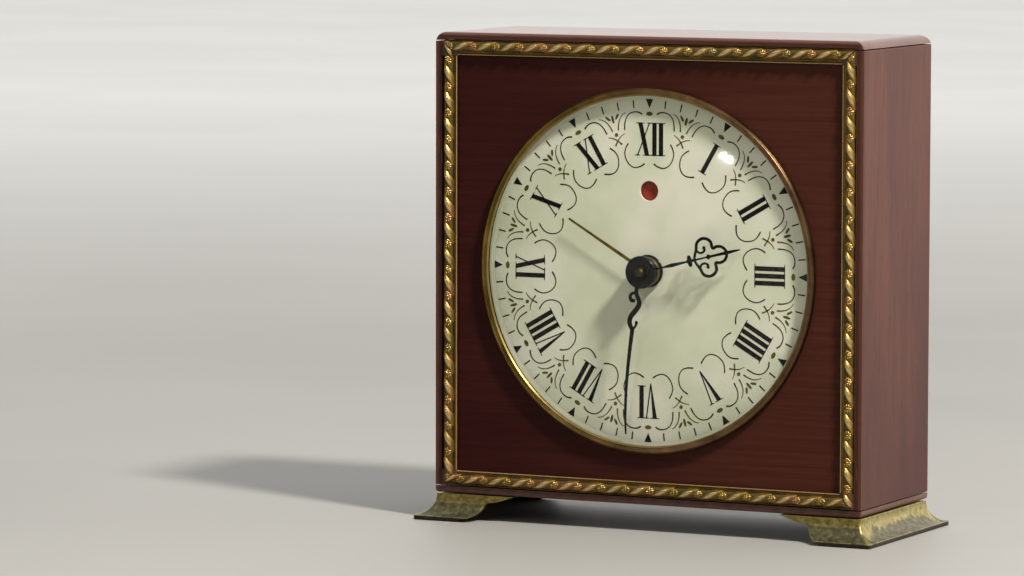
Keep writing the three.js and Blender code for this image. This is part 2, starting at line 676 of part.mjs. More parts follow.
function makeMotionWork() {
  const cannonRadius = share(CANNON_TEETH, MINUTE_WHEEL_TEETH, SET_DISTANCE);
  const minuteWheelRadius = SET_DISTANCE - cannonRadius;
  const hourRadius = share(HOUR_WHEEL_TEETH, MINUTE_PINION_TEETH, SET_DISTANCE);
  const minutePinionRadius = SET_DISTANCE - hourRadius;
  const alarmRadius = share(ALARM_WHEEL_TEETH, ALARM_PINION_TEETH, ALARM_DISTANCE);
  const alarmPinionRadius = ALARM_DISTANCE - alarmRadius;

  const cannon = gear(CANNON_TEETH, cannonRadius, SET_DIRECTION, ...MINUTE_WHEEL_Y);
  const centreArbor = rod(1, above(6.6), REAR_PLATE_BACK + 0.2);
  piece('centre_arbor', join(centreArbor, cannon), 'brass', dialAxis);

  const hourGear = gear(
    HOUR_WHEEL_TEETH, hourRadius, SET_DIRECTION + Math.PI / HOUR_WHEEL_TEETH, ...HOUR_WHEEL_Y,
  );
  const hourPipe = rod(2, above(4.6), HOUR_WHEEL_Y[1]);
  const hourBore = rod(1.2, above(9), HOUR_WHEEL_Y[1] + 1);
  piece('hour_wheel', cut(join(hourGear, hourPipe), hourBore), 'brass', dialAxis);

  const alarmGear = gear(ALARM_WHEEL_TEETH, alarmRadius, ALARM_DIRECTION, ...ALARM_WHEEL_Y);
  const alarmPipe = rod(2.9, above(2.4), ALARM_WHEEL_Y[1]);
  const alarmBore = rod(2.2, above(9), ALARM_WHEEL_Y[1] + 1);
  piece('alarm_wheel', cut(join(alarmGear, alarmPipe), alarmBore), 'brass', dialAxis);

  const half = Math.PI / MINUTE_WHEEL_TEETH;
  const minuteGear = gear(
    MINUTE_WHEEL_TEETH, minuteWheelRadius, SET_DIRECTION + Math.PI + half, ...MINUTE_WHEEL_Y, SET_AT,
  );
  const minutePinion = gear(
    MINUTE_PINION_TEETH, minutePinionRadius, SET_DIRECTION + Math.PI,
    HOUR_WHEEL_Y[0], MINUTE_WHEEL_Y[0] + 0.1, SET_AT,
  );
  const setArbor = rod(1, HOUR_WHEEL_Y[0], KNOB_FRONT + 4, SET_AT);
  piece('minute_wheel', join(minuteGear, minutePinion, setArbor), 'brass', dialAxis);

  const alarmPinion = gear(
    ALARM_PINION_TEETH, alarmPinionRadius, ALARM_DIRECTION + Math.PI + Math.PI / ALARM_PINION_TEETH,
    ...ALARM_WHEEL_Y, ALARM_AT,
  );
  const alarmArbor = rod(1, ALARM_WHEEL_Y[0], KNOB_FRONT + 4, ALARM_AT);
  piece('alarm_set_arbor', join(alarmPinion, alarmArbor), 'brass', dialAxis);
}

// ---------------------------------------------------------------- going train between the plates
function makeGoingTrain() {
  const centreRadius = share(CENTRE_WHEEL_TEETH, THIRD_PINION_TEETH, THIRD_DISTANCE);
  const thirdPinionRadius = THIRD_DISTANCE - centreRadius;
  const thirdRadius = share(THIRD_WHEEL_TEETH, MOTOR_PINION_TEETH, MOTOR_DISTANCE);
  const motorPinionRadius = MOTOR_DISTANCE - thirdRadius;

  const centreGear = gear(CENTRE_WHEEL_TEETH, centreRadius, THIRD_DIRECTION, ...CENTRE_WHEEL_Y);
  const bore = rod(1.25, CENTRE_WHEEL_Y[0] - 2, CENTRE_WHEEL_Y[1] + 2);
  const boss = rod(2.4, CENTRE_WHEEL_Y[0] - 0.8, CENTRE_WHEEL_Y[1] + 0.6);
  piece('centre_wheel', cut(join(centreGear, boss), bore), 'brass', dialAxis);

  const thirdPinion = gear(
    THIRD_PINION_TEETH, thirdPinionRadius, THIRD_DIRECTION + Math.PI + Math.PI / THIRD_PINION_TEETH,
    CENTRE_WHEEL_Y[0] - 0.5, THIRD_WHEEL_Y[0] + 0.1, THIRD_AT,
  );
  const thirdGear = gear(THIRD_WHEEL_TEETH, thirdRadius, MOTOR_DIRECTION, ...THIRD_WHEEL_Y, THIRD_AT);
  const thirdArbor = rod(0.7, PLATE_FRONT + 0.1, REAR_PLATE_BACK - 0.1, THIRD_AT, 14);
  piece('third_wheel', join(thirdPinion, thirdGear, thirdArbor), 'brass', dialAxis);

  const motorPinion = gear(
    MOTOR_PINION_TEETH, motorPinionRadius, MOTOR_DIRECTION + Math.PI + Math.PI / MOTOR_PINION_TEETH,
    THIRD_WHEEL_Y[0] - 0.6, THIRD_WHEEL_Y[1] + 0.6, MOTOR_AT,
  );
  const motorShaft = rod(0.7, THIRD_WHEEL_Y[0] - 1.5, REAR_PLATE_BACK + 1.5, MOTOR_AT, 14);
  piece('motor_pinion', join(motorPinion, motorShaft), 'steel', dialAxis);
}

// ---------------------------------------------------------------- movement frame
const hole = (radius, at) => new THREE.Path().absarc(at.x, at.y, radius, 0, Math.PI * 2, true);

// Front plate: a disc with four arms that reach past the dial opening to the wooden panel.
function makePlates() {
  const disc = sheet(new THREE.Shape().absarc(0, 0, 36, 0, Math.PI * 2), PLATE_FRONT, PLATE_BACK, 16);
  const arms = [1, -1].map((side) => {
    const arm = block([-64, PLATE_FRONT, -5], [64, PLATE_BACK, 5]);
    arm.rotateY(side * Math.PI / 4);
    return arm;
  });
  const bores = [[1.15, CENTRE], [1.15, SET_AT], [1.15, ALARM_AT], [0.85, THIRD_AT]];
  const screwHoles = PLATE_SCREWS_AT.map(([x, z]) => [1.5, new THREE.Vector2(x, z)]);
  const front = cut(join(disc, ...arms), ...[...bores, ...screwHoles].map(([radius, at]) => rod(
    radius, PLATE_FRONT - 1, PLATE_BACK + 1, at,
  )));
  piece('movement_front_plate', front, 'steel', dialAxis);

  const rear = rectangle(-26, -18, 26, 36, [4, 4, 4, 4]);
  rear.holes.push(hole(1.15, CENTRE), hole(1.15, SET_AT), hole(1.15, ALARM_AT));
  rear.holes.push(hole(0.85, THIRD_AT), hole(1.4, MOTOR_AT));
  piece('movement_rear_plate', sheet(rear, REAR_PLATE_FRONT, REAR_PLATE_BACK, 8), 'steel', dialAxis);

  PILLARS_AT.forEach(([x, z], i) => {
    const at = new THREE.Vector2(x, z);
    piece(`pillar_${i + 1}`, rod(2, PLATE_BACK + GAP, REAR_PLATE_FRONT - GAP, at, 12), 'brass', dialAxis);
  });
  PLATE_SCREWS_AT.forEach(([x, z], i) => {
    const at = new THREE.Vector2(x, z);
    const screw = turned([
      [0, PANEL_FRONT + 1.4], [1, PANEL_FRONT + 1.4], [1, PLATE_BACK + GAP], [2.6, PLATE_BACK + GAP],
      [2.2, PLATE_BACK + GAP + 1.3], [0, PLATE_BACK + GAP + 1.3],
    ], 10, at);
    piece(`plate_screw_${i + 1}`, screw, 'steel', dialAxis);
  });
}

// ---------------------------------------------------------------- motor, coil and buzzer
const CAN_RADIUS = 16;
const CORE_Y = [2.8, 8.8];
const LIMB = [-33, -23];
const WINDOW = [-22.6, 7, -15.5, 32];
const COIL_BUILD = 5.4;
function makeMotor() {
  const canFront = REAR_PLATE_BACK + GAP;
  piece('motor_can', cut(turned([
    [0, canFront], [CAN_RADIUS - 1, canFront], [CAN_RADIUS, canFront + 1], [CAN_RADIUS, 9.5],
    [CAN_RADIUS - 1.2, 10.7], [0, 10.7],
  ], 32, MOTOR_AT), rod(1, canFront - 1, canFront + 1.6, MOTOR_AT)), 'steel', dialAxis);

  const core = rectangle(LIMB[0], 1, MOTOR_AT.x + CAN_RADIUS + 3.5, 38, [1, 3, 3, 1]);
  core.holes.push(hole(CAN_RADIUS + 0.4, MOTOR_AT), rectangle(...WINDOW));
  piece('stator_core', sheet(core, ...CORE_Y, 14), 'steel', dialAxis);

  const winding = COIL_BUILD;
  const coilOutside = sheet(
    rectangle(LIMB[0] - 0.4 - winding, 8, LIMB[1] + 0.4 + winding, 31),
    CORE_Y[0] - 0.4 - winding, CORE_Y[1] + 0.4 + winding,
  );
  const limbSpace = block([LIMB[0] - 0.4, CORE_Y[0] - 0.4, 0], [LIMB[1] + 0.4, CORE_Y[1] + 0.4, 40]);
  piece('coil', cut(coilOutside, limbSpace), 'copper', dialAxis);
}

// The buzzer: a steel reed under the core, held by a block on the rear plate.
function makeBuzzer() {
  const [x, z] = [REED_CLAMP_AT.x, REED_CLAMP_AT.y];
  const reed = block([-39, CORE_Y[0], z - 0.25], [x, CORE_Y[1], z + 0.25]);
  piece('buzzer_reed', reed, 'steel', dialAxis);
  const clampBlock = block([x + GAP, REAR_PLATE_BACK + GAP, z - 2], [x + 7, CORE_Y[1], z + 1.3]);
  piece('reed_clamp', clampBlock, 'steel', dialAxis);
}

// The alarm stop: a plunger that is pulled out for alarm on and pushed in for alarm off.
function makeAlarmStop() {
  piece('alarm_stop_rod', rod(1.2, -2, KNOB_FRONT + 5, STOP_AT, 16), 'steel', dialAxis);
  piece('alarm_stop_knob', knob(4, KNOB_FRONT + 1, KNOB_BACK - 0.5, 1.4, 4.2, STOP_AT), 'plastic', dialAxis);
}

// A turned knob with a blind bore for its shaft.
function knob(radius, yFront, yBack, boreRadius, boreDepth, at) {
  return turned([
    [boreRadius, yFront], [radius * 0.75, yFront], [radius * 0.75, yFront + 1.2], [radius, yFront + 1.6],
    [radius, yBack - 0.7], [radius - 0.8, yBack], [0, yBack], [0, yFront + boreDepth],
    [boreRadius, yFront + boreDepth], [boreRadius, yFront],
  ].reverse(), 16, at);
}

function makeKnobs() {
  piece('time_set_knob', knob(8, KNOB_FRONT, KNOB_BACK, 1.2, 4.4, SET_AT), 'plastic', dialAxis);
  piece('alarm_set_knob', knob(7, KNOB_FRONT, KNOB_BACK - 1, 1.2, 4.4, ALARM_AT), 'plastic', dialAxis);
}

// The power failure flag behind its round window, on a pin in the front plate.
function makeIndicator() {
  const flagY = [DIAL_BACK + 0.4, DIAL_BACK + 0.8];
  const disc = rod(4.1, ...flagY, new THREE.Vector2(0, INDICATOR_HEIGHT), 20);
  const arm = block([0, flagY[0], INDICATOR_HEIGHT - 1], [FLAG_PIVOT_AT.x, flagY[1], INDICATOR_HEIGHT + 1]);
  const eye = rod(2, ...flagY, FLAG_PIVOT_AT, 16);
  const bore = rod(1, flagY[0] - 1, flagY[1] + 1, FLAG_PIVOT_AT, 16);
  piece('indicator_flag', cut(join(disc, arm, eye), bore), 'red', dialAxis);
  piece('indicator_pin', rod(0.85, flagY[0] - 0.1, PLATE_FRONT - GAP, FLAG_PIVOT_AT, 16), 'steel', dialAxis);
}

// ---------------------------------------------------------------- back of the case
function makeBack() {
  const half = INNER_W + LEDGE - GAP;
  const bores = [[1.8, SET_AT], [1.8, ALARM_AT], [1.8, STOP_AT], [5.2, GROMMET_AT]];
  const screwHoles = COVER_SCREWS_AT.map(([x, z]) => [1.5, new THREE.Vector2(x, z)]);
  const holes = [...bores, ...screwHoles].map(([radius, at]) => rod(
    radius, COVER_FRONT - 1, COVER_BACK + 1, at,
  ));
  const slots = [0, 1, 2, 3, 4].map((i) => {
    const x = -38 + i * 6;
    return block([x, COVER_FRONT - 1, 22], [x + 2.4, COVER_BACK + 1, 46]);
  });
  const board = block([-half, COVER_FRONT, -half], [half, COVER_BACK, half]);
  piece('back_cover', cut(board, ...holes, ...slots), 'hardboard', dialAxis);

  COVER_SCREWS_AT.forEach(([x, z], i) => {
    const screw = turned([
      [0, COVER_FRONT - 8], [0.9, COVER_FRONT - 8], [0.9, COVER_BACK + GAP], [1.9, COVER_BACK + GAP],
      [1.5, COVER_BACK + GAP + 1], [0, COVER_BACK + GAP + 1.3],
    ], 10, new THREE.Vector2(x, z));
    piece(`cover_screw_${i + 1}`, screw, 'steel', dialAxis);
  });

  piece('cord_grommet', turned([
    [2.6, COVER_FRONT - 1.8], [6.8, COVER_FRONT - 1.8], [6.8, COVER_FRONT - GAP], [4.9, COVER_FRONT - GAP],
    [4.9, COVER_BACK + GAP], [6.8, COVER_BACK + GAP], [6.4, COVER_BACK + 1.6], [2.6, COVER_BACK + 1.6],
    [2.6, COVER_FRONT - 1.8],
  ], 16, GROMMET_AT), 'plastic', dialAxis);
}

makeCase();
makeFrontPanel();
makeMouldings();
makeFeet();
makeBezel();
makeGlass();
makeDial();
makeMinuteHand();
makeHourHand();
makeAlarmHand();
makeCentreNut();
makeMotionWork();
makeGoingTrain();
makePlates();
makeMotor();
makeBuzzer();
makeAlarmStop();
makeKnobs();
makeIndicator();
makeBack();

export default clock;
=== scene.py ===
import math
import random

import bmesh
import bpy
from mathutils import Matrix, Vector


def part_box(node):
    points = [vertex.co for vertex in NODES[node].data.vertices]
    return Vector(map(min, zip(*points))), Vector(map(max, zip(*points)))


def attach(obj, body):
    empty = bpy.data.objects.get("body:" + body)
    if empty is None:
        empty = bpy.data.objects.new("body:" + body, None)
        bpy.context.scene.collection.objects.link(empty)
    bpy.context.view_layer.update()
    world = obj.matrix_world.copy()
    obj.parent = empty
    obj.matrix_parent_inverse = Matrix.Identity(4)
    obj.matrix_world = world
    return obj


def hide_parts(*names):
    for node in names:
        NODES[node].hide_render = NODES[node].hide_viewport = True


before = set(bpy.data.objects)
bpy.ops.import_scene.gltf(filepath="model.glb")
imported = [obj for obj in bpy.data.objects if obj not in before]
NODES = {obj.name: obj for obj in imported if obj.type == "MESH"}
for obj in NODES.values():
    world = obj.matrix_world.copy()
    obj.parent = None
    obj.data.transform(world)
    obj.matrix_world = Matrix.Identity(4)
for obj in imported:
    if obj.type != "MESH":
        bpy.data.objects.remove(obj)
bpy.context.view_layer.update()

# A square mahogany mantel alarm clock. Shapes are drawn in millimetres and scaled when they are made.
MM = 0.001


def mm_box(node):
    low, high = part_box(node)
    return low / MM, high / MM


TOP_LOW, TOP_HIGH = mm_box("top_board")
BOTTOM_LOW, BOTTOM_HIGH = mm_box("bottom_board")
PLATE_LOW, PLATE_HIGH = mm_box("dial_plate")
HALF_W = TOP_HIGH.x
HALF_D = TOP_HIGH.y
CASE_TOP = TOP_HIGH.z
CASE_BOTTOM = BOTTOM_LOW.z
DIAL_Y = PLATE_LOW.y
DIAL_Z = (PLATE_LOW.z + PLATE_HIGH.z) / 2
DIAL_RADIUS = PLATE_HIGH.x
MINUTE_ANGLE = 188
HOUR_ANGLE = 76
ALARM_ANGLE = 300.5


# ---------------------------------------------------------------- mesh helpers
def on_dial(x, z, height):
    """A point x to the right of and z above the dial's centre, and so far in front of the dial."""
    return Vector((x, DIAL_Y - height, DIAL_Z + z))


def turned_clockwise(x, z, degrees):
    a = math.radians(degrees)
    return x * math.cos(a) + z * math.sin(a), z * math.cos(a) - x * math.sin(a)


def evaluated(bm, modifiers=()):
    """The mesh that a bmesh gives once these modifiers have been applied to it."""
    mesh = bpy.data.meshes.new("draft")
    bm.to_mesh(mesh)
    bm.free()
    draft = bpy.data.objects.new("draft", mesh)
    bpy.context.scene.collection.objects.link(draft)
    for kind, settings in modifiers:
        modifier = draft.modifiers.new(kind, kind)
        for key, value in settings.items():
            setattr(modifier, key, value)
    bpy.context.view_layer.update()
    done = bpy.data.meshes.new_from_object(draft.evaluated_get(bpy.context.evaluated_depsgraph_get()))
    bpy.data.objects.remove(draft)
    bpy.data.meshes.remove(mesh)
    return done


def bevel(width, segments=2, angle=35):
    return ("BEVEL", {"width": width, "segments": segments, "limit_method": "ANGLE",
                      "angle_limit": math.radians(angle), "harden_normals": False})


def piece(name, mesh, body, finish, replaces=(), smooth=40):
    """Turns a mesh in millimetres into a finished piece that rides on a body."""
    mesh.name = name
    mesh.transform(Matrix.Scale(MM, 4))
    mesh.shade_smooth()
    mesh.set_sharp_from_angle(angle=math.radians(smooth))
    obj = bpy.data.objects.new(name, mesh)
    bpy.context.scene.collection.objects.link(obj)
    mesh.materials.clear()
    mesh.materials.append(MATERIALS[finish])
    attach(obj, body)
    if replaces:
        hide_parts(*replaces)
    return obj


def add_grid(bm, rows, close_rows=False, close_columns=False, caps=False):
    """Joins rows of points into a surface of four-sided faces."""
    verts = [[bm.verts.new(p) for p in row] for row in rows]
    count_r = len(rows) if close_rows else len(rows) - 1
    width = len(rows[0])
    count_c = width if close_columns else width - 1
    for r in range(count_r):
        for c in range(count_c):
            a, b = verts[r], verts[(r + 1) % len(rows)]
            bm.faces.new((a[c], a[(c + 1) % width], b[(c + 1) % width], b[c]))
    if caps:
        bm.faces.new(list(reversed(verts[0])))
        bm.faces.new(verts[-1])
    return verts


def cleaned(bm, distance=1e-4):
    bmesh.ops.remove_doubles(bm, verts=bm.verts, dist=distance)
    bmesh.ops.dissolve_degenerate(bm, edges=bm.edges, dist=distance)
    bmesh.ops.recalc_face_normals(bm, faces=bm.faces)
    return bm


def fillet(points, radius, steps=4, closed=False):
    """Rounds each corner of a line of (a, b) points, by no more than its sides allow."""
    points = [Vector(p) for p in points]
    n = len(points)
    out = []
    for i, p in enumerate(points):
        if not closed and i in (0, n - 1):
            out.append(p)
            continue
        before, after = points[i - 1] - p, points[(i + 1) % n] - p
        reach = min(radius, before.length * 0.45, after.length * 0.45)
        start, end = p + before.normalized() * reach, p + after.normalized() * reach
        for k in range(steps + 1):
            t = k / steps
            out.append(start * (1 - t) ** 2 + p * 2 * t * (1 - t) + end * t * t)
    return [tuple(p) for p in out]


def smooth_line(points, steps=6):
    """Points along a Catmull-Rom curve through the given points."""
    points = [Vector(p) for p in points]
    padded = [2 * points[0] - points[1]] + points + [2 * points[-1] - points[-2]]
    out = []
    for i in range(len(points) - 1):
        a, b, c, d = padded[i:i + 4]
        for k in range(steps):
            t = k / steps
            out.append(0.5 * (2 * b + (c - a) * t + (2 * a - 5 * b + 4 * c - d) * t ** 2
                              + (3 * b - a - 3 * c + d) * t ** 3))
    out.append(points[-1])
    return out


def circle(count):
    """Angles that divide a full turn evenly."""
    return [2 * math.pi * i / count for i in range(count)]


def lathe(profile, segments=128, centre=(0, 0), flutes=0, flute_depth=0.0, fluted=None):
    """Turns (radius, height in front of the dial) points about an axis through the dial."""
    bm = bmesh.new()
    rows = []
    for a in circle(segments):
        wave = 0.5 - 0.5 * math.cos(flutes * a)
        row = []
        for r, h in profile:
            inside = fluted and fluted[0] <= h <= fluted[1] and r > fluted[2]
            cut = flute_depth * wave ** 0.6 if inside else 0
            row.append(on_dial(centre[0] + (r - cut) * math.sin(a), centre[1] + (r - cut) * math.cos(a), h))
        rows.append(row)
    closed = (Vector(profile[0]) - Vector(profile[-1])).length < 1e-6
    add_grid(bm, rows, close_rows=True)
    if not closed:
        assert profile[0][0] == 0 and profile[-1][0] == 0
    return cleaned(bm)


def ring(section, segments=128, centre=(0, 0)):
    """The mesh of a closed section turned about an axis through the dial."""
    return evaluated(lathe(section + section[:1], segments, centre))


def add_prism(bm, outline, degrees, raised=0.0):
    """A printed shape on the dial, drawn as an outline in (across, outwards)."""
    rows = []
    for height in (INK_FRONT + raised, INK_BACK):
        rows.append([on_dial(*turned_clockwise(x, z, degrees), height) for x, z in outline])
    add_grid(bm, rows, close_columns=True, caps=True)


def width_at(widths, t):
    place = t * (len(widths) - 1)
    low = min(int(place), len(widths) - 2)
    return widths[low] + (widths[low + 1] - widths[low]) * (place - low)


def add_line(bm, points, widths, degrees, mirror=False, steps=6):
    """A printed line of changing width along a smooth curve."""
    line = smooth_line(points, steps)
    rows = []
    for i, p in enumerate(line):
        ahead = line[min(i + 1, len(line) - 1)] - line[max(i - 1, 0)]
        side = Vector((-ahead.y, ahead.x)).normalized() * width_at(widths, i / (len(line) - 1)) / 2
        row = []
        left, right = p + side, p - side
        for q, height in ((left, INK_FRONT), (right, INK_FRONT), (right, INK_BACK), (left, INK_BACK)):
            x = -q.x if mirror else q.x
            row.append(on_dial(*turned_clockwise(x, q.y, degrees), height))
        rows.append(row)
    add_grid(bm, rows, close_columns=True, caps=True)


def ellipse(x, z, half_x, half_z, lean=0.0, point=1.0):
    """An oval outline. point below 1 draws its ends out into tips."""
    out = []
    for a in circle(20):
        across = half_x * math.copysign(abs(math.sin(a)) ** (1 / point), math.sin(a))
        dx, dz = turned_clockwise(across, half_z * math.cos(a), lean)
        out.append((x + dx, z + dz))
    return out


# ---------------------------------------------------------------- material helpers
def srgb(value):
    channels = [(value >> shift & 255) / 255 for shift in (16, 8, 0)]
    return [c / 12.92 if c <= 0.04045 else ((c + 0.055) / 1.055) ** 2.4 for c in channels] + [1.0]


class Finish:
    """One procedural material, built from short calls. Sizes are in millimetres."""

    def __init__(self, name, **sockets):
        self.material = bpy.data.materials.new(name)
        self.material.use_nodes = True
        self.tree = self.material.node_tree
        self.tree.nodes.clear()
        self.output = self.add("ShaderNodeOutputMaterial")
        self.surface = self.add("ShaderNodeBsdfPrincipled")
        self.tree.links.new(self.surface.outputs[0], self.output.inputs[0])
        self.place = self.add("ShaderNodeTexCoord").outputs["Object"]
        self.set(**sockets)

    def set(self, **sockets):
        for key, value in sockets.items():
            self.feed(self.surface.inputs[key.replace("_", " ").title().replace("Ior", "IOR")], value)

    def add(self, kind, inputs=(), **attributes):
        node = self.tree.nodes.new(kind)
        for key, value in attributes.items():
            setattr(node, key, value)
        for key, value in dict(inputs).items():
            self.feed(node.inputs[key], value)
        return node

    def feed(self, socket, value):
        if isinstance(value, bpy.types.NodeSocket):
            self.tree.links.new(value, socket)
        elif isinstance(value, int) and socket.type == "RGBA":
            socket.default_value = srgb(value)
        else:
            socket.default_value = value

    def noise(self, size, detail=4.0, roughness=0.5, stretch=(1, 1, 1), warp=0.0, shift=0.0):
        scale = [s / (size * MM) for s in stretch]
        mapped = self.add("ShaderNodeMapping", {"Vector": self.place, "Scale": scale,
                                                "Location": (shift, shift * 1.7, shift * 2.3)})
        return self.add("ShaderNodeTexNoise", {
            "Vector": mapped.outputs[0], "Scale": 1.0, "Detail": detail, "Roughness": roughness,
            "Distortion": warp,
        }).outputs[0]

    def math(self, operation, a, b=0.0, c=0.0):
        node = self.add("ShaderNodeMath", operation=operation)
        for socket, value in zip(node.inputs, (a, b, c)):
            self.feed(socket, value)
        return node.outputs[0]

    def step(self, value, start, end, low=0.0, high=1.0):
        return self.add("ShaderNodeMapRange", {
            "Value": value, "From Min": start, "From Max": end, "To Min": low, "To Max": high,
        }, interpolation_type="SMOOTHSTEP", clamp=True).outputs[0]

    def mix(self, share, a, b):
        node = self.add("ShaderNodeMix", data_type="RGBA")
        for index, value in ((0, share), (6, a), (7, b)):
            self.feed(node.inputs[index], value)
        return node.outputs[2]

    def ramp(self, value, *stops):
        node = self.add("ShaderNodeValToRGB", {"Fac": value})
        elements = node.color_ramp.elements
        while len(elements) < len(stops):
            elements.new(0.5)
        for element, (position, colour) in zip(elements, stops):
            element.position = position
            element.color = srgb(colour)
        return node.outputs[0]

    def blend(self, *weighted):
        """A weighted sum of values."""
        total = 0.0
        for weight, value in weighted:
            total = self.math("MULTIPLY_ADD", value, weight, total)
        return total

    def bump(self, height, depth, strength=1.0):
        inputs = {"Height": height, "Distance": depth * MM, "Strength": strength}
        if self.surface.inputs["Normal"].is_linked:
            inputs["Normal"] = self.surface.inputs["Normal"].links[0].from_socket
        self.set(normal=self.add("ShaderNodeBump", inputs).outputs[0])

    def axes(self):
        return self.add("ShaderNodeSeparateXYZ", {0: self.place}).outputs

    def around_dial(self):
        """How far a place is across, up and outwards from the dial's centre."""
        x, _, z = self.axes()
        up = self.math("SUBTRACT", z, DIAL_Z * MM)
        squares = self.math("ADD", self.math("MULTIPLY", x, x), self.math("MULTIPLY", up, up))
        return x, up, self.math("SQRT", squares)

    def attribute(self, name):
        return self.add("ShaderNodeAttribute", attribute_name=name).outputs["Fac"]


def edge_wear(f):
    """1 along the outer edges of the case, falling to 0 a little way in."""
    x, y, z = f.axes()
    dx = f.math("SUBTRACT", HALF_W * MM, f.math("ABSOLUTE", x))
    dy = f.math("SUBTRACT", HALF_D * MM, f.math("ABSOLUTE", y))
    dz = f.math("MINIMUM", f.math("SUBTRACT", z, CASE_BOTTOM * MM), f.math("SUBTRACT", CASE_TOP * MM, z))
    nearer = f.math("MINIMUM", dx, dy)
    farther = f.math("MAXIMUM", dx, dy)
    second = f.math("MAXIMUM", nearer, f.math("MINIMUM", farther, dz))
    ragged = f.math("MULTIPLY_ADD", f.noise(5, 5, 0.65, warp=0.5), -0.9 * MM, second)
    return f.step(ragged, 0.9 * MM, -0.1 * MM)


# ---------------------------------------------------------------- materials
def mahogany(name, along, dark, middle, light, roughness, gloss=0.2, scratched=0.0, front=None,
             right=None, low=None):
    """Stained wood. front colours the front edges, right paints a lighter sheen over the right part as a
    painted reflection, and low paints the lower part darker as painted shade.
    """
    f = Finish(name)
    stretch = [0.03 if axis == along else 1 for axis in "xyz"]
    soft = [0.16 if axis == along else 1 for axis in "xyz"]
    figure = f.noise(24, 3, 0.5, soft, warp=0.6)
    grain = f.noise(1.5, 8, 0.62, stretch, warp=0.25)
    fine = f.noise(0.34, 4, 0.6, stretch, shift=3.1)
    tone = f.blend((0.38, figure), (0.42, grain), (0.2, fine))
    colour = f.ramp(tone, (0.36, dark), (0.5, middle), (0.64, light))
    pores = f.step(f.noise(0.42, 3, 0.5, [s * 1.6 if s < 1 else s for s in stretch], shift=7.7), 0.4, 0.33)
    colour = f.mix(f.math("MULTIPLY", pores, 0.5), colour, 0x1c0a07)
    # right paints a lighter sheen towards the right of the wood: a painted reflection.
    if right:
        x = f.math("MULTIPLY_ADD", figure, 40 * MM, f.axes()[0])
        colour = f.mix(f.step(x, -45 * MM, 85 * MM, 0.0, 0.75), colour, f.mix(grain, middle, right))
    if front:
        y = f.axes()[1]
        edge = f.step(y, (1.6 - HALF_D) * MM, (0.6 - HALF_D) * MM)
        stained = f.mix(f.math("MULTIPLY", grain, 0.3), front, middle)
        colour = f.mix(f.math("MULTIPLY", edge, 0.92), colour, stained)
    # low paints the lower part darker: painted shade.
    if low:
        z = f.math("MULTIPLY_ADD", figure, 30 * MM, f.axes()[2])
        colour = f.mix(f.step(z, 145 * MM, 20 * MM, 0.0, 0.6), colour, low)
    wear = edge_wear(f)
    colour = f.mix(f.math("MULTIPLY", wear, 0.4), colour, 0x6b4130)
    if scratched:
        scratches = f.step(f.noise(0.6, 2, 0.5, (1, 0.9, 0.05), shift=21), 0.735, 0.77)
        colour = f.mix(f.math("MULTIPLY", scratches, scratched), colour, 0xa08a7a)
    f.set(base_color=colour, specular_ior_level=gloss)
    f.set(roughness=f.blend((0.22, grain), (0.12, wear), (1.0, roughness)))
    f.bump(f.blend((0.5, grain), (0.25, fine), (-0.6, pores)), 0.05, 0.5)
    return f.material


def gilt(name):
    """Old gilding: gold on what stands up, paler on the highest points as a painted highlight, and brown in
    what lies deep, for dirt and painted shade.
    """
    f = Finish(name, metallic=0.8, coat_weight=0.35, coat_roughness=0.16)
    relief = f.attribute("relief")
    speckle = f.noise(0.3, 3, 0.6)
    tarnish = f.noise(8, 4, 0.6, warp=0.4)
    lit = f.ramp(tarnish, (0.34, 0x746025), (0.5, 0x94752f), (0.66, 0x9c6f40))
    # A pale colour on the highest points: a painted highlight.
    lit = f.mix(f.step(relief, 0.7, 1.0), lit, 0xcfb682)
    # Dark brown where the relief is low: dirt and painted shade.
    recess_dirt_and_shade = f.step(f.math("MULTIPLY_ADD", speckle, 0.3, relief), 0.2, 0.62)
    f.set(base_color=f.mix(recess_dirt_and_shade, 0x1d1407, lit))
    f.set(roughness=f.step(f.math("MULTIPLY_ADD", speckle, 0.4, relief), 0.2, 1.2, 0.55, 0.27))
    f.bump(speckle, 0.03, 0.5)
    return f.material


def aged_brass(name, tones, roughness=0.3, size=7.0):
    f = Finish(name, metallic=0.95)
    patch = f.noise(size, 5, 0.6, warp=0.6)
    fine = f.noise(0.5, 3, 0.6)
    colour = f.ramp(f.blend((0.85, patch), (0.15, fine)), *zip((0.34, 0.5, 0.66), tones))
    f.set(base_color=colour)
    f.set(roughness=f.blend((0.25, patch), (0.12, fine), (1.0, roughness - 0.18)))
    f.bump(fine, 0.012, 0.6)
    return f.material


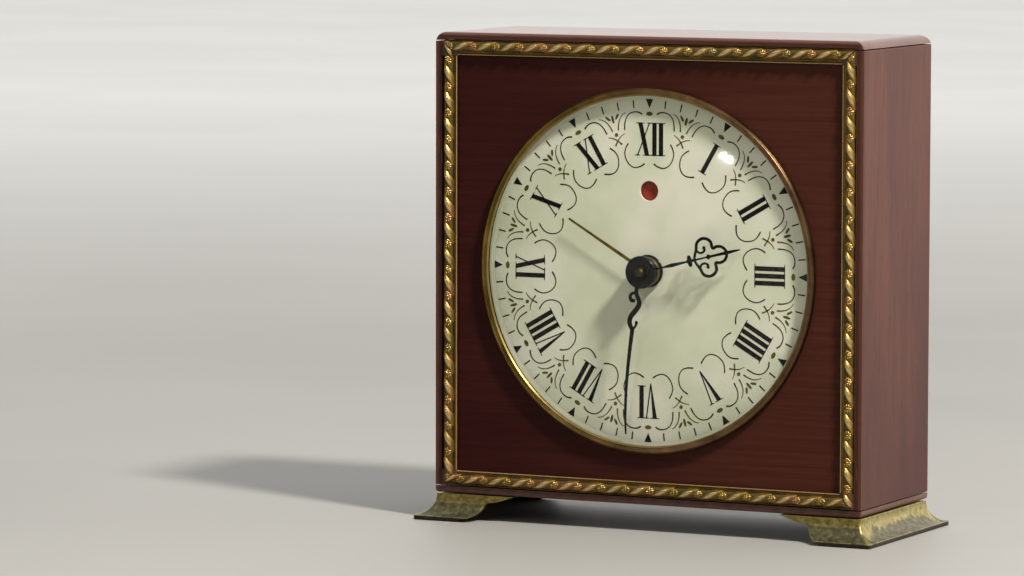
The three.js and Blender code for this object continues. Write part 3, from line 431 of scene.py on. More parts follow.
def bezel_brass(name):
    """Turned brass with fine rings from the lathe. It is painted olive at the left and brown at the right
    for the different light each side catches, paler on the inner lip as a painted highlight, and darker on
    its outer part as painted shade.
    """
    f = Finish(name, metallic=0.9)
    x, height, radius = f.around_dial()
    across = f.math("SUBTRACT", x, f.math("MULTIPLY", height, 0.15))
    patch = f.noise(11, 5, 0.62, warp=0.5)
    # The split from olive at the left to brown at the right paints the different light that each side
    # catches.
    right_side_painted_light = f.step(f.math("MULTIPLY_ADD", patch, 0.05, across), -0.03, 0.07)
    ring_width = 0.16 * MM
    wander = 12
    along = f.add("ShaderNodeCombineXYZ", {0: f.math("MULTIPLY", radius, 1 / ring_width),
                                           1: f.math("MULTIPLY", x, wander)})
    rings = f.add("ShaderNodeTexNoise", {
        "Vector": along.outputs[0], "Scale": 1.0, "Detail": 3.0,
    }).outputs[0]
    tone = f.blend((0.6, patch), (0.4, rings))
    olive = f.ramp(tone, (0.36, 0x4a3b16), (0.5, 0x695422), (0.64, 0x877137))
    brown = f.ramp(tone, (0.36, 0x53392a), (0.5, 0x7a5c40), (0.64, 0x9a7a56))
    # worn here holds this ring's painted light, not wear.
    worn = f.mix(right_side_painted_light, olive, brown)
    # The inner lip is painted paler, as a painted highlight.
    rubbed = f.step(radius, 51.75 * MM, 51.45 * MM)
    worn = f.mix(f.math("MULTIPLY", rubbed, 0.45), worn, 0xa8935a)
    # The outer part is painted darker, as painted shade.
    outer_painted_shade = f.step(radius, 52.8 * MM, 53.1 * MM)
    f.set(base_color=f.mix(f.math("MULTIPLY", outer_painted_shade, 0.6), worn, 0x35240f))
    f.set(roughness=f.blend((0.2, patch), (0.15, rings), (1.0, 0.14)))
    f.bump(rings, 0.02, 0.5)
    return f.material


def foot_brass(name):
    """Stamped brass under a grey-green skin, rubbed bright along the top of its side and at its corners.
    Its front faces are painted darker and its lip's face near black, as painted shade, and the lip's top
    edge bright, as a painted highlight.
    """
    f = Finish(name)
    _, y, z = f.axes()
    patch = f.noise(5, 6, 0.68, (1, 1, 0.55), warp=0.8)
    mottle = f.noise(1.6, 5, 0.65, shift=4.0)
    fine = f.noise(0.3, 3, 0.6)
    lip = f.attribute("lip")
    edge = f.attribute("edge")
    side_skin = f.ramp(mottle, (0.32, 0x3f3a27), (0.5, 0x5b5541), (0.66, 0x76715d))
    # The front faces get a darker copy of the skin and little of the rubbed brass: painted shade.
    shaded_front_skin = f.ramp(mottle, (0.32, 0x242216), (0.5, 0x393726), (0.66, 0x4f4f41))
    front_share = f.step(f.math("ABSOLUTE", y), (HALF_D + 0.05) * MM, (HALF_D + 0.5) * MM)
    skin = f.mix(front_share, side_skin, shaded_front_skin)
    near_end = f.step(f.math("ABSOLUTE", y), 17 * MM, 27 * MM, 0.0, 2.6 * MM)
    ragged = f.math("ADD", f.math("MULTIPLY_ADD", patch, 6.5 * MM, z), near_end)
    upper = f.step(ragged, 7.0 * MM, 8.0 * MM)
    rubbed = f.math("MULTIPLY", upper, f.math("SUBTRACT", 1.0, f.math("MULTIPLY", front_share, 0.88)))
    # edge adds bright brass at the corners, for wear, and along the lip's top edge, as a painted highlight.
    rubbed = f.math("MAXIMUM", rubbed, f.math("MULTIPLY", edge, f.step(patch, 0.4, 0.6, 0.15, 0.8)))
    brass = f.ramp(mottle, (0.35, 0x76662a), (0.5, 0x948448), (0.65, 0xa99c63))
    colour = f.mix(rubbed, skin, brass)
    # The lip's face is painted near black, as painted shade.
    f.set(base_color=f.mix(f.math("MULTIPLY", lip, 0.85), colour, 0x1a1109))
    f.set(metallic=f.math("MULTIPLY_ADD", rubbed, 0.35, 0.45))
    f.set(roughness=f.blend((-0.2, rubbed), (0.2, mottle), (1.0, 0.45)))
    f.bump(f.blend((0.6, mottle), (0.4, fine)), 0.05, 0.5)
    return f.material


def dial_paint(name):
    f = Finish(name, roughness=0.42, specular_ior_level=0.4)
    radius = f.around_dial()[2]
    cloud = f.noise(22, 4, 0.55)
    fleck = f.step(f.noise(0.5, 2, 0.5), 0.7, 0.76)
    colour = f.ramp(cloud, (0.35, 0xd6d6c2), (0.65, 0xdfddcb))
    # Paler towards the rim, as a painted reflection of the glass's edge.
    colour = f.mix(f.step(radius, 40 * MM, 50.5 * MM, 0.0, 0.35), colour, 0xe2e1cf)
    colour = f.mix(f.math("MULTIPLY", fleck, 0.25), colour, 0x9c9272)
    f.set(base_color=colour)
    f.bump(f.noise(0.8, 3, 0.5), 0.01, 0.3)
    return f.material


def ink(name, colour, faded):
    f = Finish(name, roughness=0.5, specular_ior_level=0.12)
    f.set(base_color=f.ramp(f.noise(2.2, 4, 0.6), (0.4, colour), (0.7, faded)))
    f.bump(f.noise(0.25, 2, 0.5), 0.01, 0.4)
    return f.material


def lacquer(name, dark, light, roughness, size=1.2, coat=0.25, gloss=0.5):
    """Thin hard paint or moulded plastic, with a little dust and unevenness."""
    f = Finish(name, coat_weight=coat, coat_roughness=0.2, specular_ior_level=gloss)
    dust = f.noise(size, 5, 0.6)
    f.set(base_color=f.ramp(dust, (0.4, dark), (0.72, light)))
    f.set(roughness=f.blend((0.25, dust), (1.0, roughness - 0.12)))
    f.bump(f.noise(size * 0.4, 3, 0.5), 0.02, 0.35)
    return f.material


def metal(name, dark, light, roughness, stretch=(1, 1, 1)):
    f = Finish(name, metallic=0.95)
    cloud = f.noise(5, 4, 0.6)
    brushed = f.noise(0.4, 4, 0.6, stretch)
    f.set(base_color=f.ramp(f.blend((0.5, cloud), (0.5, brushed)), (0.38, dark), (0.62, light)))
    f.set(roughness=f.blend((0.2, brushed), (0.15, cloud), (1.0, roughness - 0.17)))
    f.bump(brushed, 0.01, 0.4)
    return f.material


def hardboard(name):
    f = Finish(name, roughness=0.72)
    fibre = f.noise(0.9, 7, 0.7, (1, 1, 0.6), warp=1.5)
    cloud = f.noise(18, 4, 0.5)
    tone = f.blend((0.6, fibre), (0.4, cloud))
    f.set(base_color=f.ramp(tone, (0.36, 0x38251a), (0.5, 0x4e3728), (0.64, 0x664a36)))
    f.bump(fibre, 0.08, 0.7)
    return f.material


def coil_tape(name):
    f = Finish(name, roughness=0.5)
    wrap = f.noise(0.7, 4, 0.6, (1, 1, 0.08))
    f.set(base_color=f.ramp(wrap, (0.4, 0x5a3516), (0.6, 0xa0713a)))
    f.bump(wrap, 0.08, 0.6)
    return f.material


def clear_glass(name):
    """Window glass: clear, with a plain reflection that grows towards the edge and a few specks of dust."""
    f = Finish(name)
    nodes = f.tree.nodes
    nodes.remove(f.surface)
    dust = f.noise(0.35, 3, 0.6)
    smear = f.noise(20, 3, 0.5)
    tint = f.ramp(smear, (0.4, 0xf8faf6), (0.6, 0xffffff))
    clear = f.add("ShaderNodeBsdfTransparent", {"Color": tint})
    gloss = f.add("ShaderNodeBsdfAnisotropic", {
        "Color": 0xffffff, "Roughness": f.step(smear, 0.4, 0.7, 0.05, 0.1),
    })
    facing = f.add("ShaderNodeLayerWeight", {"Blend": 0.5}).outputs["Facing"]
    grazing = f.math("MULTIPLY_ADD", f.math("POWER", facing, 5.0), 0.8, 0.008)
    share = f.add("ShaderNodeMixShader", {0: grazing, 1: clear.outputs[0], 2: gloss.outputs[0]})
    haze = f.add("ShaderNodeBsdfDiffuse", {"Color": 0xd8d8cc})
    specks = f.math("MULTIPLY_ADD", f.step(dust, 0.74, 0.8), 0.1, 0.002)
    final = f.add("ShaderNodeMixShader", {0: specks, 1: share.outputs[0], 2: haze.outputs[0]})
    f.tree.links.new(final.outputs[0], f.output.inputs[0])
    return f.material


MATERIALS = {
    # The panel's right colour is a painted sheen, and the side's low colour is painted shade on its lower
    # part.
    "panel": mahogany("front_mahogany", "x", 0x270b09, 0x300f0d, 0x3a1511, 0.4, 0.1, right=0x583222),
    "board": mahogany("board_mahogany", "x", 0x43261b, 0x583629, 0x704a3b, 0.2, 0.5, 0.0, 0x300f05),
    "side": mahogany("side_mahogany", "z", 0x3d1f18, 0x502c23, 0x653b2f, 0.36, 0.3, 0.3, 0x300f05,
                     low=0x37150b),
    "glue": lacquer("glue_line", 0x35190f, 0x4c2b20, 0.5),
    "gilt": gilt("gilt_moulding"),
    "bezel": bezel_brass("bezel_brass"),
    "nut": aged_brass("nut_brass", (0x241d0d, 0x45391c, 0x67562e), 0.36, 1.5),
    "foot": foot_brass("foot_brass"),
    "glass": clear_glass("dial_glass"),
    "paint": dial_paint("dial_paint"),
    "ink": ink("black_ink", 0x080607, 0x151011),
    "brown": ink("brown_ink", 0x4c4417, 0x6a6029),
    "line": ink("line_ink", 0x211809, 0x382c12),
    "black": lacquer("hand_black", 0x040304, 0x0b090b, 0.2, 2.4, 0.03, 0.2),
    "gold": aged_brass("hand_gold", (0x55491c, 0x736529, 0x938340), 0.34, 4.0),
    "red": lacquer("red_flag", 0x7e1d0a, 0x9a3015, 0.55, coat=0.05, gloss=0.3),
    "brass": metal("movement_brass", 0x93712c, 0xc7a352, 0.32),
    "steel": metal("movement_steel", 0x7e8080, 0xaeb0af, 0.34, (0.1, 1, 1)),
    "motor": metal("motor_steel", 0x6f7478, 0xa2a6a8, 0.4),
    "plastic": lacquer("black_plastic", 0x0f0e0d, 0x26221f, 0.42, 2.0),
    "hardboard": hardboard("back_board"),
    "tape": coil_tape("coil_tape"),
}


# ---------------------------------------------------------------- CAD nodes that stay
def paint_nodes():
    """The finish of every CAD node that keeps its own shape."""
    groups = {
        "panel": ["front_panel"],
        "board": ["top_board", "bottom_board"],
        "side": ["left_side", "right_side"],
        "red": ["indicator_flag"],
        "brass": ["centre_arbor", "centre_wheel", "hour_wheel", "alarm_wheel", "minute_wheel",
                  "alarm_set_arbor", "third_wheel", "pillar_1", "pillar_2", "pillar_3", "pillar_4"],
        "steel": ["movement_front_plate", "movement_rear_plate", "buzzer_reed", "reed_clamp",
                  "alarm_stop_rod", "indicator_pin", "motor_pinion", "plate_screw_1", "plate_screw_2",
                  "plate_screw_3", "plate_screw_4"],
        "motor": ["motor_can", "stator_core"],
        "tape": ["coil"],
        "hardboard": ["back_cover"],
    }
    for key, names in groups.items():
        for name in names:
            mesh = NODES[name].data
            mesh.materials.clear()
            mesh.materials.append(MATERIALS[key])


def soften_node(name, width):
    obj = NODES[name]
    modifier = obj.modifiers.new("softened", "BEVEL")
    modifier.width = width * MM
    modifier.segments = 3
    modifier.limit_method = "ANGLE"
    modifier.angle_limit = math.radians(35)
    obj.data.shade_smooth()
    obj.data.set_sharp_from_angle(angle=math.radians(40))


def finish_case():
    for name in ("top_board", "bottom_board", "left_side", "right_side"):
        soften_node(name, 0.12)
    soften_node("front_panel", 0.15)
    soften_node("back_cover", 0.3)


def make_glue_lines():
    """The thin lines of glue that close the joints between the side boards and the top and bottom."""
    inset = 0.1
    for side in ("left", "right"):
        low, high = mm_box(f"{side}_side")
        for name, start, end in (("top", high.z, TOP_LOW.z), ("bottom", BOTTOM_HIGH.z, low.z)):
            inner, outer = sorted((low.x, high.x), key=abs)
            outer -= math.copysign(inset, outer)
            front, back = -HALF_D + inset, HALF_D - inset
            corners = [(inner, front), (outer, front), (outer, back), (inner, back)]
            section = fillet(corners, 0.9, 5, closed=True)
            bm = bmesh.new()
            add_grid(bm, [[Vector((x, y, z)) for x, y in section] for z in (start, (start + end) / 2, end)],
                     close_columns=True, caps=True)
            bmesh.ops.recalc_face_normals(bm, faces=bm.faces)
            piece(f"glue_line_{name}_{side}", evaluated(bm), "case", "glue")


# ---------------------------------------------------------------- gilt moulding
BEAD = 3.2
FILLET = 1.0
FLANGE = 0.28
TURNS = 17
SLANT = 1.45
LOBE_SHARE = 0.5


def flower(along, across):
    """Relief, from 0 to 1, of a small flower of beads at a place from its centre."""
    r = math.hypot(along, across)
    a = math.atan2(across, along)
    ring = math.exp(-((r - 1.0) / 0.2) ** 2) * (0.5 + 0.5 * math.cos(9 * a))
    petals = math.exp(-((r - 0.55) / 0.17) ** 2) * (0.5 + 0.5 * math.cos(5 * a))
    return max(ring, petals, math.exp(-(r / 0.2) ** 2))


def rope_height(x, t, pitch):
    """Height and relief of the rope at x along the strip and t in from its outer edge.

    Smooth leaves wind round the strip, and each space between two leaves holds a flower."""
    middle = BEAD / 2
    q = (t - middle) / middle
    dome = math.sqrt(max(0.0, 1 - q * q))
    u = ((x + SLANT * (t - middle)) / pitch) % 1.0
    if u < LOBE_SHARE:
        lobe = math.sin(math.pi * u / LOBE_SHARE) ** 0.65
        height = 1.15 + 0.9 * lobe
        relief = 0.25 + 0.75 * lobe
    else:
        inside = min(u - LOBE_SHARE, 1.0 - u) * pitch / 0.35
        rise = min(1.0, inside) ** 0.7
        centre = (u - (1 + LOBE_SHARE) / 2) * pitch - SLANT * (t - middle)
        carved = flower(centre, 1.05 * (t - middle))
        height = 1.15 + rise * (0.3 + 0.5 * carved)
        relief = 0.16 + rise * (0.1 + 0.84 * carved)
    # The relief fades towards the sides of the rope, and the gilt paints low relief darker, so this paints
    # shade there.
    return 0.35 + dome * height, relief * (0.3 + 0.7 * dome)


def strip_section():
    """(t, height) across the strip from its outer edge inwards, with no height for the rope's points."""
    steps = 24
    bead = [(BEAD * (0.5 - 0.5 * math.cos(math.pi * i / steps)), None) for i in range(1, steps)]
    outer = [(-FLANGE, 0.0), (-FLANGE, 0.42), (-FLANGE + 0.07, 0.52), (-0.03, 0.52), (0.0, 0.4)]
    edge = BEAD + FILLET
    inner = [(BEAD, 0.4), (BEAD + 0.2, 0.36), (BEAD + 0.45, 0.46), (edge - 0.28, 0.84), (edge - 0.18, 0.92),
             (edge - 0.08, 0.9), (edge, 0.76), (edge, 0.0)]
    return outer + bead + inner


def make_moulding(name, quarter):
    """One mitred strip of rope moulding with a thin raised edge along its inner side."""
    high = mm_box("moulding_top")[1]
    outer = high.z - DIAL_Z
    reach = high.x
    base = high.y
    pitch = 2 * outer / TURNS
    section = strip_section()
    columns = 1000
    bm = bmesh.new()
    layer = bm.verts.layers.float.new("relief")
    rows = []
    reliefs = []
    for i in range(columns + 1):
        share = 2 * i / columns - 1
        row = []
        for t, plain in section:
            x = share * (reach - t)
            # Relief of the plain strips follows their height, so the gilt paints the low fillet darker as
            # painted shade.
            height, relief = (plain, 1.2 * plain - 0.16) if plain is not None else rope_height(x, t, pitch)
            reliefs.append(relief)
            dx, dz = turned_clockwise(x, outer - t, 90 * quarter)
            row.append(Vector((dx, base - height, DIAL_Z + dz)))
        rows.append(row)
    verts = add_grid(bm, rows, close_columns=True, caps=True)
    flat = [v for row in verts for v in row]
    for v, relief in zip(flat, reliefs):
        v[layer] = relief
    bmesh.ops.recalc_face_normals(bm, faces=bm.faces)
    piece(f"rope_moulding_{name}", evaluated(bm), "case", "gilt",
          [f"moulding_{name}"], smooth=60)


def make_mouldings():
    for quarter, name in enumerate(("top", "right", "bottom", "left")):
        make_moulding(name, quarter)


# ---------------------------------------------------------------- bracket feet
FOOT_BASE_IN = 7.8
FOOT_CUSP_IN = 16.3
FOOT_TIP_IN = 26.0
FOOT_CUSP_Z = 5.2
FOOT_TOP = CASE_BOTTOM


def bracket_reach(z):
    """How far in from the case's end the bracket's edge is: a quarter curve, a cusp, a long curve."""
    if z <= 0.3:
        return FOOT_BASE_IN
    if z <= FOOT_CUSP_Z:
        rise = (z - 0.3) / (FOOT_CUSP_Z - 0.3)
        return FOOT_BASE_IN + (FOOT_CUSP_IN - FOOT_BASE_IN) * math.sqrt(max(0.0, 1 - (1 - rise) ** 2))
    if z <= FOOT_CUSP_Z + 0.3:
        return FOOT_CUSP_IN + 0.7 * (z - FOOT_CUSP_Z) / 0.3
    rise = (z - FOOT_CUSP_Z - 0.3) / (FOOT_TOP - FOOT_CUSP_Z - 0.3)
    return FOOT_CUSP_IN + 0.7 + (FOOT_TIP_IN - FOOT_CUSP_IN - 0.7) * rise ** 0.62


def foot_section():
    """(outward from the case, height) round the sheet: its face, its lip, its inside and its top flange."""
    face = smooth_line([(-0.1, 7.7), (0.0, 6.6), (0.35, 5.1), (1.2, 3.5), (2.55, 2.3), (4.1, 1.55),
                        (4.95, 1.38)], 4)
    lip = [(5.06, 1.27), (5.1, 1.1), (5.1, 0.2), (4.95, 0.0), (3.9, 0.0)]
    inside = smooth_line([(3.75, 0.05), (2.0, 0.95), (0.3, 2.3), (-0.9, 4.2), (-1.4, 5.9)], 3)
    flange = [(-1.7, 6.3), (-2.1, 6.4), (-11, 6.4), (-11, 7.7), (-4, 7.7), (-1.2, 7.7)]
    return [tuple(p) for p in face] + lip + [tuple(p) for p in inside] + flange


def foot_path(out, z, side):
    """Points round the front, the side and the back of the case at one line of the section."""
    edge_x = HALF_W - bracket_reach(z)
    round_by = 0.7
    corner_x, corner_y = HALF_W + out, HALF_D + out
    points = []
    for sign in (-1, 1):
        leg = []
        start = min(edge_x, corner_x - round_by - 0.05)
        for i in range(15):
            share = i / 14
            leg.append((start + (corner_x - round_by - start) * share, sign * corner_y, 1 if i == 0 else 0))
        for i in range(1, 6):
            a = math.pi / 2 * i / 6
            leg.append((corner_x - round_by + round_by * math.sin(a),
                        sign * (corner_y - round_by + round_by * math.cos(a)), 1))
        for i in range(13):
            y = sign * (corner_y - round_by) * (1 - i / 12)
            leg.append((corner_x, y, 1 if i == 0 else 0))
        points = leg if not points else points + list(reversed(leg[:-1]))
    return [(side * x, y, worn) for x, y, worn in points]


def make_foot(name, side):
    bm = bmesh.new()
    edge = bm.verts.layers.float.new("edge")
    lip = bm.verts.layers.float.new("lip")
    verts = []
    for out, z in foot_section():
        row = []
        for x, y, worn in foot_path(out, z, side):
            v = bm.verts.new((x, y, z))
            # edge marks the corners, for wear, and the lip's top edge, for a painted highlight; lip marks
            # the lip's face, for painted shade.
            v[edge] = max(worn, 1 if out > 4.9 and z > 1.2 else 0)
            v[lip] = 1 if out > 3.0 and z < 1.2 else 0
            row.append(v)
        verts.append(row)
    for r in range(len(verts)):
        a, b = verts[r], verts[(r + 1) % len(verts)]
        for c in range(len(a) - 1):
            bm.faces.new((a[c], a[c + 1], b[c + 1], b[c]))
    bm.faces.new([row[0] for row in verts])
    bm.faces.new([row[-1] for row in reversed(verts)])
    bmesh.ops.triangulate(bm, faces=[f for f in bm.faces if len(f.verts) > 4])
    bmesh.ops.recalc_face_normals(bm, faces=bm.faces)
    mesh = evaluated(bm, [bevel(0.16, 2, 50)])
    piece(f"{name}_shell", mesh, "case", "foot", [name], smooth=50)


# ---------------------------------------------------------------- bezel, glass and dial
def height_of(y):
    return DIAL_Y - y


def make_bezel():
    """A rolled brass ring with a skirt through the panel and four tabs bent out behind it."""
    low, high = mm_box("bezel")
    seat = height_of(mm_box("front_panel")[0].y) + 0.3
    back = height_of(high.y)
    crest = height_of(low.y)
    slope = fillet([(51.2, 2.2), (51.6, 2.66), (51.78, 2.7), (51.88, 2.62), (52.2, 2.86), (52.32, 2.78),
                    (52.75, crest), (53.0, crest - 0.06), (53.1, 2.92), (53.42, 2.72),
                    (53.6, 2.3)], 0.08, 3)
    profile = [(51.2, 2.05)] + slope + [
        (53.6, seat + 0.1), (53.5, seat), (52.4, seat), (52.4, back), (52.05, back), (52.05, 2.0),
        (51.3, 2.0), (51.2, 2.05)]
    bm = lathe(profile, 192)
    for quarter in range(4):
        rows = []
        for z, thin in ((52.1, 0), (54, 0), (55.6, 0), (56, 0.1)):
            corners = [(-4 + thin, back + thin), (4 - thin, back + thin), (4 - thin, back + 0.4 - thin),
                       (-4 + thin, back + 0.4 - thin)]
            rows.append([on_dial(*turned_clockwise(x, z, 90 * quarter), h) for x, h in corners])
        add_grid(bm, rows, close_columns=True, caps=True)
    bmesh.ops.recalc_face_normals(bm, faces=bm.faces)
    piece("bezel_ring", evaluated(bm), "case", "bezel", ["bezel"])


def make_glass():
    """A domed glass of even thickness."""
    low, high = mm_box("glass")
    apex = height_of(low.y)
    radius = high.x
    edge = 1.7
    thickness = 1.1
    rise = apex - edge
    sphere = (radius ** 2 + rise ** 2) / (2 * rise)
    steps = 36
    outer, inner = [], []
    for i in range(steps + 1):
        r = radius * math.sin(math.pi / 2 * i / steps)
        outer.append((r, apex - sphere + math.sqrt(sphere ** 2 - r ** 2)))
        inner.append((r, apex - sphere + math.sqrt((sphere - thickness) ** 2 - r ** 2)))
    rim = [(radius, edge - 0.3), (radius, edge - 0.8)]
    mesh = evaluated(lathe(outer + rim + list(reversed(inner)), 160))
    piece("domed_glass", mesh, "case", "glass", ["glass"], smooth=50)


def make_dial():
    low, high = mm_box("dial_ring")
    front = height_of(low.y)
    inner, outer = DIAL_RADIUS - 0.1, high.x
    edge = fillet([(inner, -0.02), (inner + 0.6, 0.03), (outer, min(front, 0.3)), (outer, -1.0),
                   (inner, -1.0)], 0.1, 3, closed=True)
    piece("dial_edge_ring", ring(edge, 192), "case", "paint", ["dial_ring"])

    window_z = 23.4
    plate = fillet([(3.3, 0), (DIAL_RADIUS, 0), (DIAL_RADIUS, -0.6), (3.3, -0.6)], 0.08, 2, closed=True)
    bm = lathe(plate + plate[:1], 224)
    punch = bpy.data.objects.new("punch", evaluated(lathe(
        [(0, 2), (2.9, 2), (2.9, -2), (0, -2)], 64, (0, window_z))))
    bpy.context.scene.collection.objects.link(punch)
    mesh = evaluated(bm, [
        ("BOOLEAN", {"operation": "DIFFERENCE", "object": punch, "solver": "EXACT"}),
        bevel(0.12, 2, 60),
    ])
    bpy.data.objects.remove(punch)
    piece("painted_dial", mesh, "case", "paint", ["dial_plate"], smooth=8)


# ---------------------------------------------------------------- printing on the dial
INK_FRONT = 0.045
INK_BACK = -0.02
NUMERAL_IN = 33.7
NUMERAL_OUT = 43.3
BAR = 1.36
HAIR = 0.36
STROKE_GAP = 2.1
LETTER_GAP = 1.6
NUMERALS = ("XII", "I", "II", "III", "IIII", "V", "VI", "VII", "VIII", "IX", "X", "XI")


def letter_strokes(letter):
    """(outer place, inner place, width) of each stroke of a letter, and the letter's own width."""
    if letter == "I":
        return [(0, 0, BAR)], 0
    if letter == "V":
        return [(0, 1.35, BAR), (2.7, 1.35, HAIR)], 2.7
    return [(0.85, 3.05, BAR), (3.8, 0, HAIR)], 3.8


def numeral_strokes(text):
    """Every stroke of a roman numeral, centred on the hour's line."""
    strokes, at = [], 0.0
    for i, letter in enumerate(text):
        own, width = letter_strokes(letter)
        if i:
            at += STROKE_GAP if text[i - 1] == letter == "I" else LETTER_GAP
        strokes += [(at + a, at + b, w, letter) for a, b, w in own]
        at += width
    return [(a - at / 2, b - at / 2, w, letter) for a, b, w, letter in strokes]


def make_numerals():
    bm = bmesh.new()
    for hour, text in enumerate(NUMERALS):
        degrees = 30 * hour
        for outer, inner, width, letter in numeral_strokes(text):
            half = width / 2
            foot = 0.12 if letter == "V" and width == BAR else half
            end = NUMERAL_IN - 0.7 if letter == "V" else NUMERAL_IN
            add_prism(bm, [(outer - half, NUMERAL_OUT), (outer + half, NUMERAL_OUT), (inner + foot, end),
                           (inner - foot, end)], degrees)
            serif = half + (0.7 if width == BAR else 0.62)
            places = [(outer, NUMERAL_OUT - 0.12)] + ([] if letter == "V" else [(inner, NUMERAL_IN + 0.12)])
            for x, z in places:
                add_line(bm, [(x - serif, z), (x, z - 0.02), (x + serif, z)], (0.2, 0.34, 0.2), degrees,
                         steps=2)
    piece("hour_numerals", evaluated(cleaned(bm, 1e-6)), "case", "ink")


def make_minute_track():
    bm = bmesh.new()
    for minute in range(60):
        degrees = 6 * minute
        if minute % 5:
            outline = [(-0.21, 49.95), (0.21, 49.95), (0.19, 47.65), (-0.19, 47.65)]
        else:
            outline = [(-1.15, 50.2), (1.15, 50.2), (0.06, 47.6), (-0.06, 47.6)]
        add_prism(bm, outline, degrees)
    piece("minute_track", evaluated(cleaned(bm, 1e-6)), "case", "ink")


# Thin scrolls round each numeral, in (across, outwards) from the hour's line.
UPPER_SCROLL = [(2.35, 45.75), (3.6, 46.3), (5.0, 46.3), (6.3, 45.8), (7.3, 44.7), (7.85, 43.1),
                (7.95, 41.0)]
LOWER_SCROLL = [(6.75, 37.1), (7.5, 35.75), (7.85, 34.1), (7.3, 32.2), (6.15, 30.75), (4.6, 30.1),
                (2.9, 30.45), (1.45, 31.3)]
# Ornament between two numerals, from the line half way between the hours.
OUTER_SPRAY = [(4.4, 46.45), (3.3, 46.0), (2.25, 45.05), (1.55, 43.85), (1.15, 42.75), (0.98, 42.0)]
CROSS = [(2.7, 40.55), (1.5, 40.15), (0.35, 39.35), (-0.5, 38.45), (-1.1, 37.7)]


def make_scrollwork():
    lines = bmesh.new()
    for hour in range(12):
        for mirror in (False, True):
            common = (30 * hour, mirror)
            add_line(lines, UPPER_SCROLL, (0.48, 0.38, 0.32, 0.32, 0.4), *common)
            add_line(lines, LOWER_SCROLL, (0.42, 0.32, 0.32, 0.32, 0.46), *common)
    piece("cartouche_lines", evaluated(cleaned(lines, 1e-6)), "case", "line")

    accents = bmesh.new()
    for hour in range(12):
        degrees = 30 * hour
        add_prism(accents, ellipse(0, 45.9, 1.05, 0.62, point=0.8), degrees)
        between = degrees + 15
        for mirror in (False, True):
            common = (between, mirror)
            add_line(accents, OUTER_SPRAY, (0.22, 0.28, 0.36, 0.5), *common)
            add_line(accents, CROSS, (0.2, 0.3, 0.4, 0.5), *common)
            sign = -1 if mirror else 1
            add_prism(accents, ellipse(sign * 1.5, 45.95, 0.36, 0.98, sign * 42, point=1.3), between)
        add_prism(accents, ellipse(0, 45.45, 0.4, 1.18, point=1.3), between)
        add_prism(accents, ellipse(0, 40.8, 0.56, 0.56), between, 0.005)
    piece("olive_ornament", evaluated(cleaned(accents, 1e-6)), "case", "brown")


# ---------------------------------------------------------------- hands
HAND_THICKNESS = 0.35
HAND_WEIGHT = 1.22


def add_wire(bm, points, widths, level, thickness=HAND_THICKNESS, steps=8, mirror=False):
    """A stroke of a hand with a rounded section. level gives its height at a distance from the centre."""
    line = smooth_line(points, steps)
    rows = []
    for i, p in enumerate(line):
        ahead = line[min(i + 1, len(line) - 1)] - line[max(i - 1, 0)]
        side = Vector((-ahead.y, ahead.x)).normalized()
        half = HAND_WEIGHT * width_at(widths, i / (len(line) - 1)) / 2
        row = []
        for a in circle(12):
            c, s = math.cos(a), math.sin(a)
            across = half * math.copysign(abs(c) ** 0.55, c)
            up = thickness / 2 * math.copysign(abs(s) ** 0.7, s)
            q = p + side * across
            row.append(Vector((-q.x if mirror else q.x, q.y, level(q.y) + thickness / 2 + up)))
        rows.append(row)
    add_grid(bm, rows, close_columns=True, caps=True)


def add_ball(bm, x, z, radius, level):
    """A flattened bead on a hand."""
    rows = []
    for i in range(9):
        a = math.pi * i / 8
        r = radius * max(0.02, math.sin(a)) ** 0.7
        h = level(z) + HAND_THICKNESS / 2 - HAND_THICKNESS * 0.55 * math.cos(a)
        rows.append([Vector((x + r * math.cos(b), z + r * math.sin(b), h)) for b in circle(20)])
    add_grid(bm, rows, close_columns=True, caps=True)


def hand_mesh(bm, degrees, voxel=0.07):
    """Fuses a hand's strokes into one skin, and lays it over the dial at its angle."""
    bmesh.ops.recalc_face_normals(bm, faces=bm.faces)
    mesh = evaluated(bm, [
        ("REMESH", {"mode": "VOXEL", "voxel_size": voxel, "use_smooth_shade": True}),
        ("SMOOTH", {"factor": 0.5, "iterations": 3}),
    ])
    for v in mesh.vertices:
        x, z, h = v.co
        v.co = on_dial(*turned_clockwise(x, z, degrees), h)
    mesh.flip_normals()
    return mesh


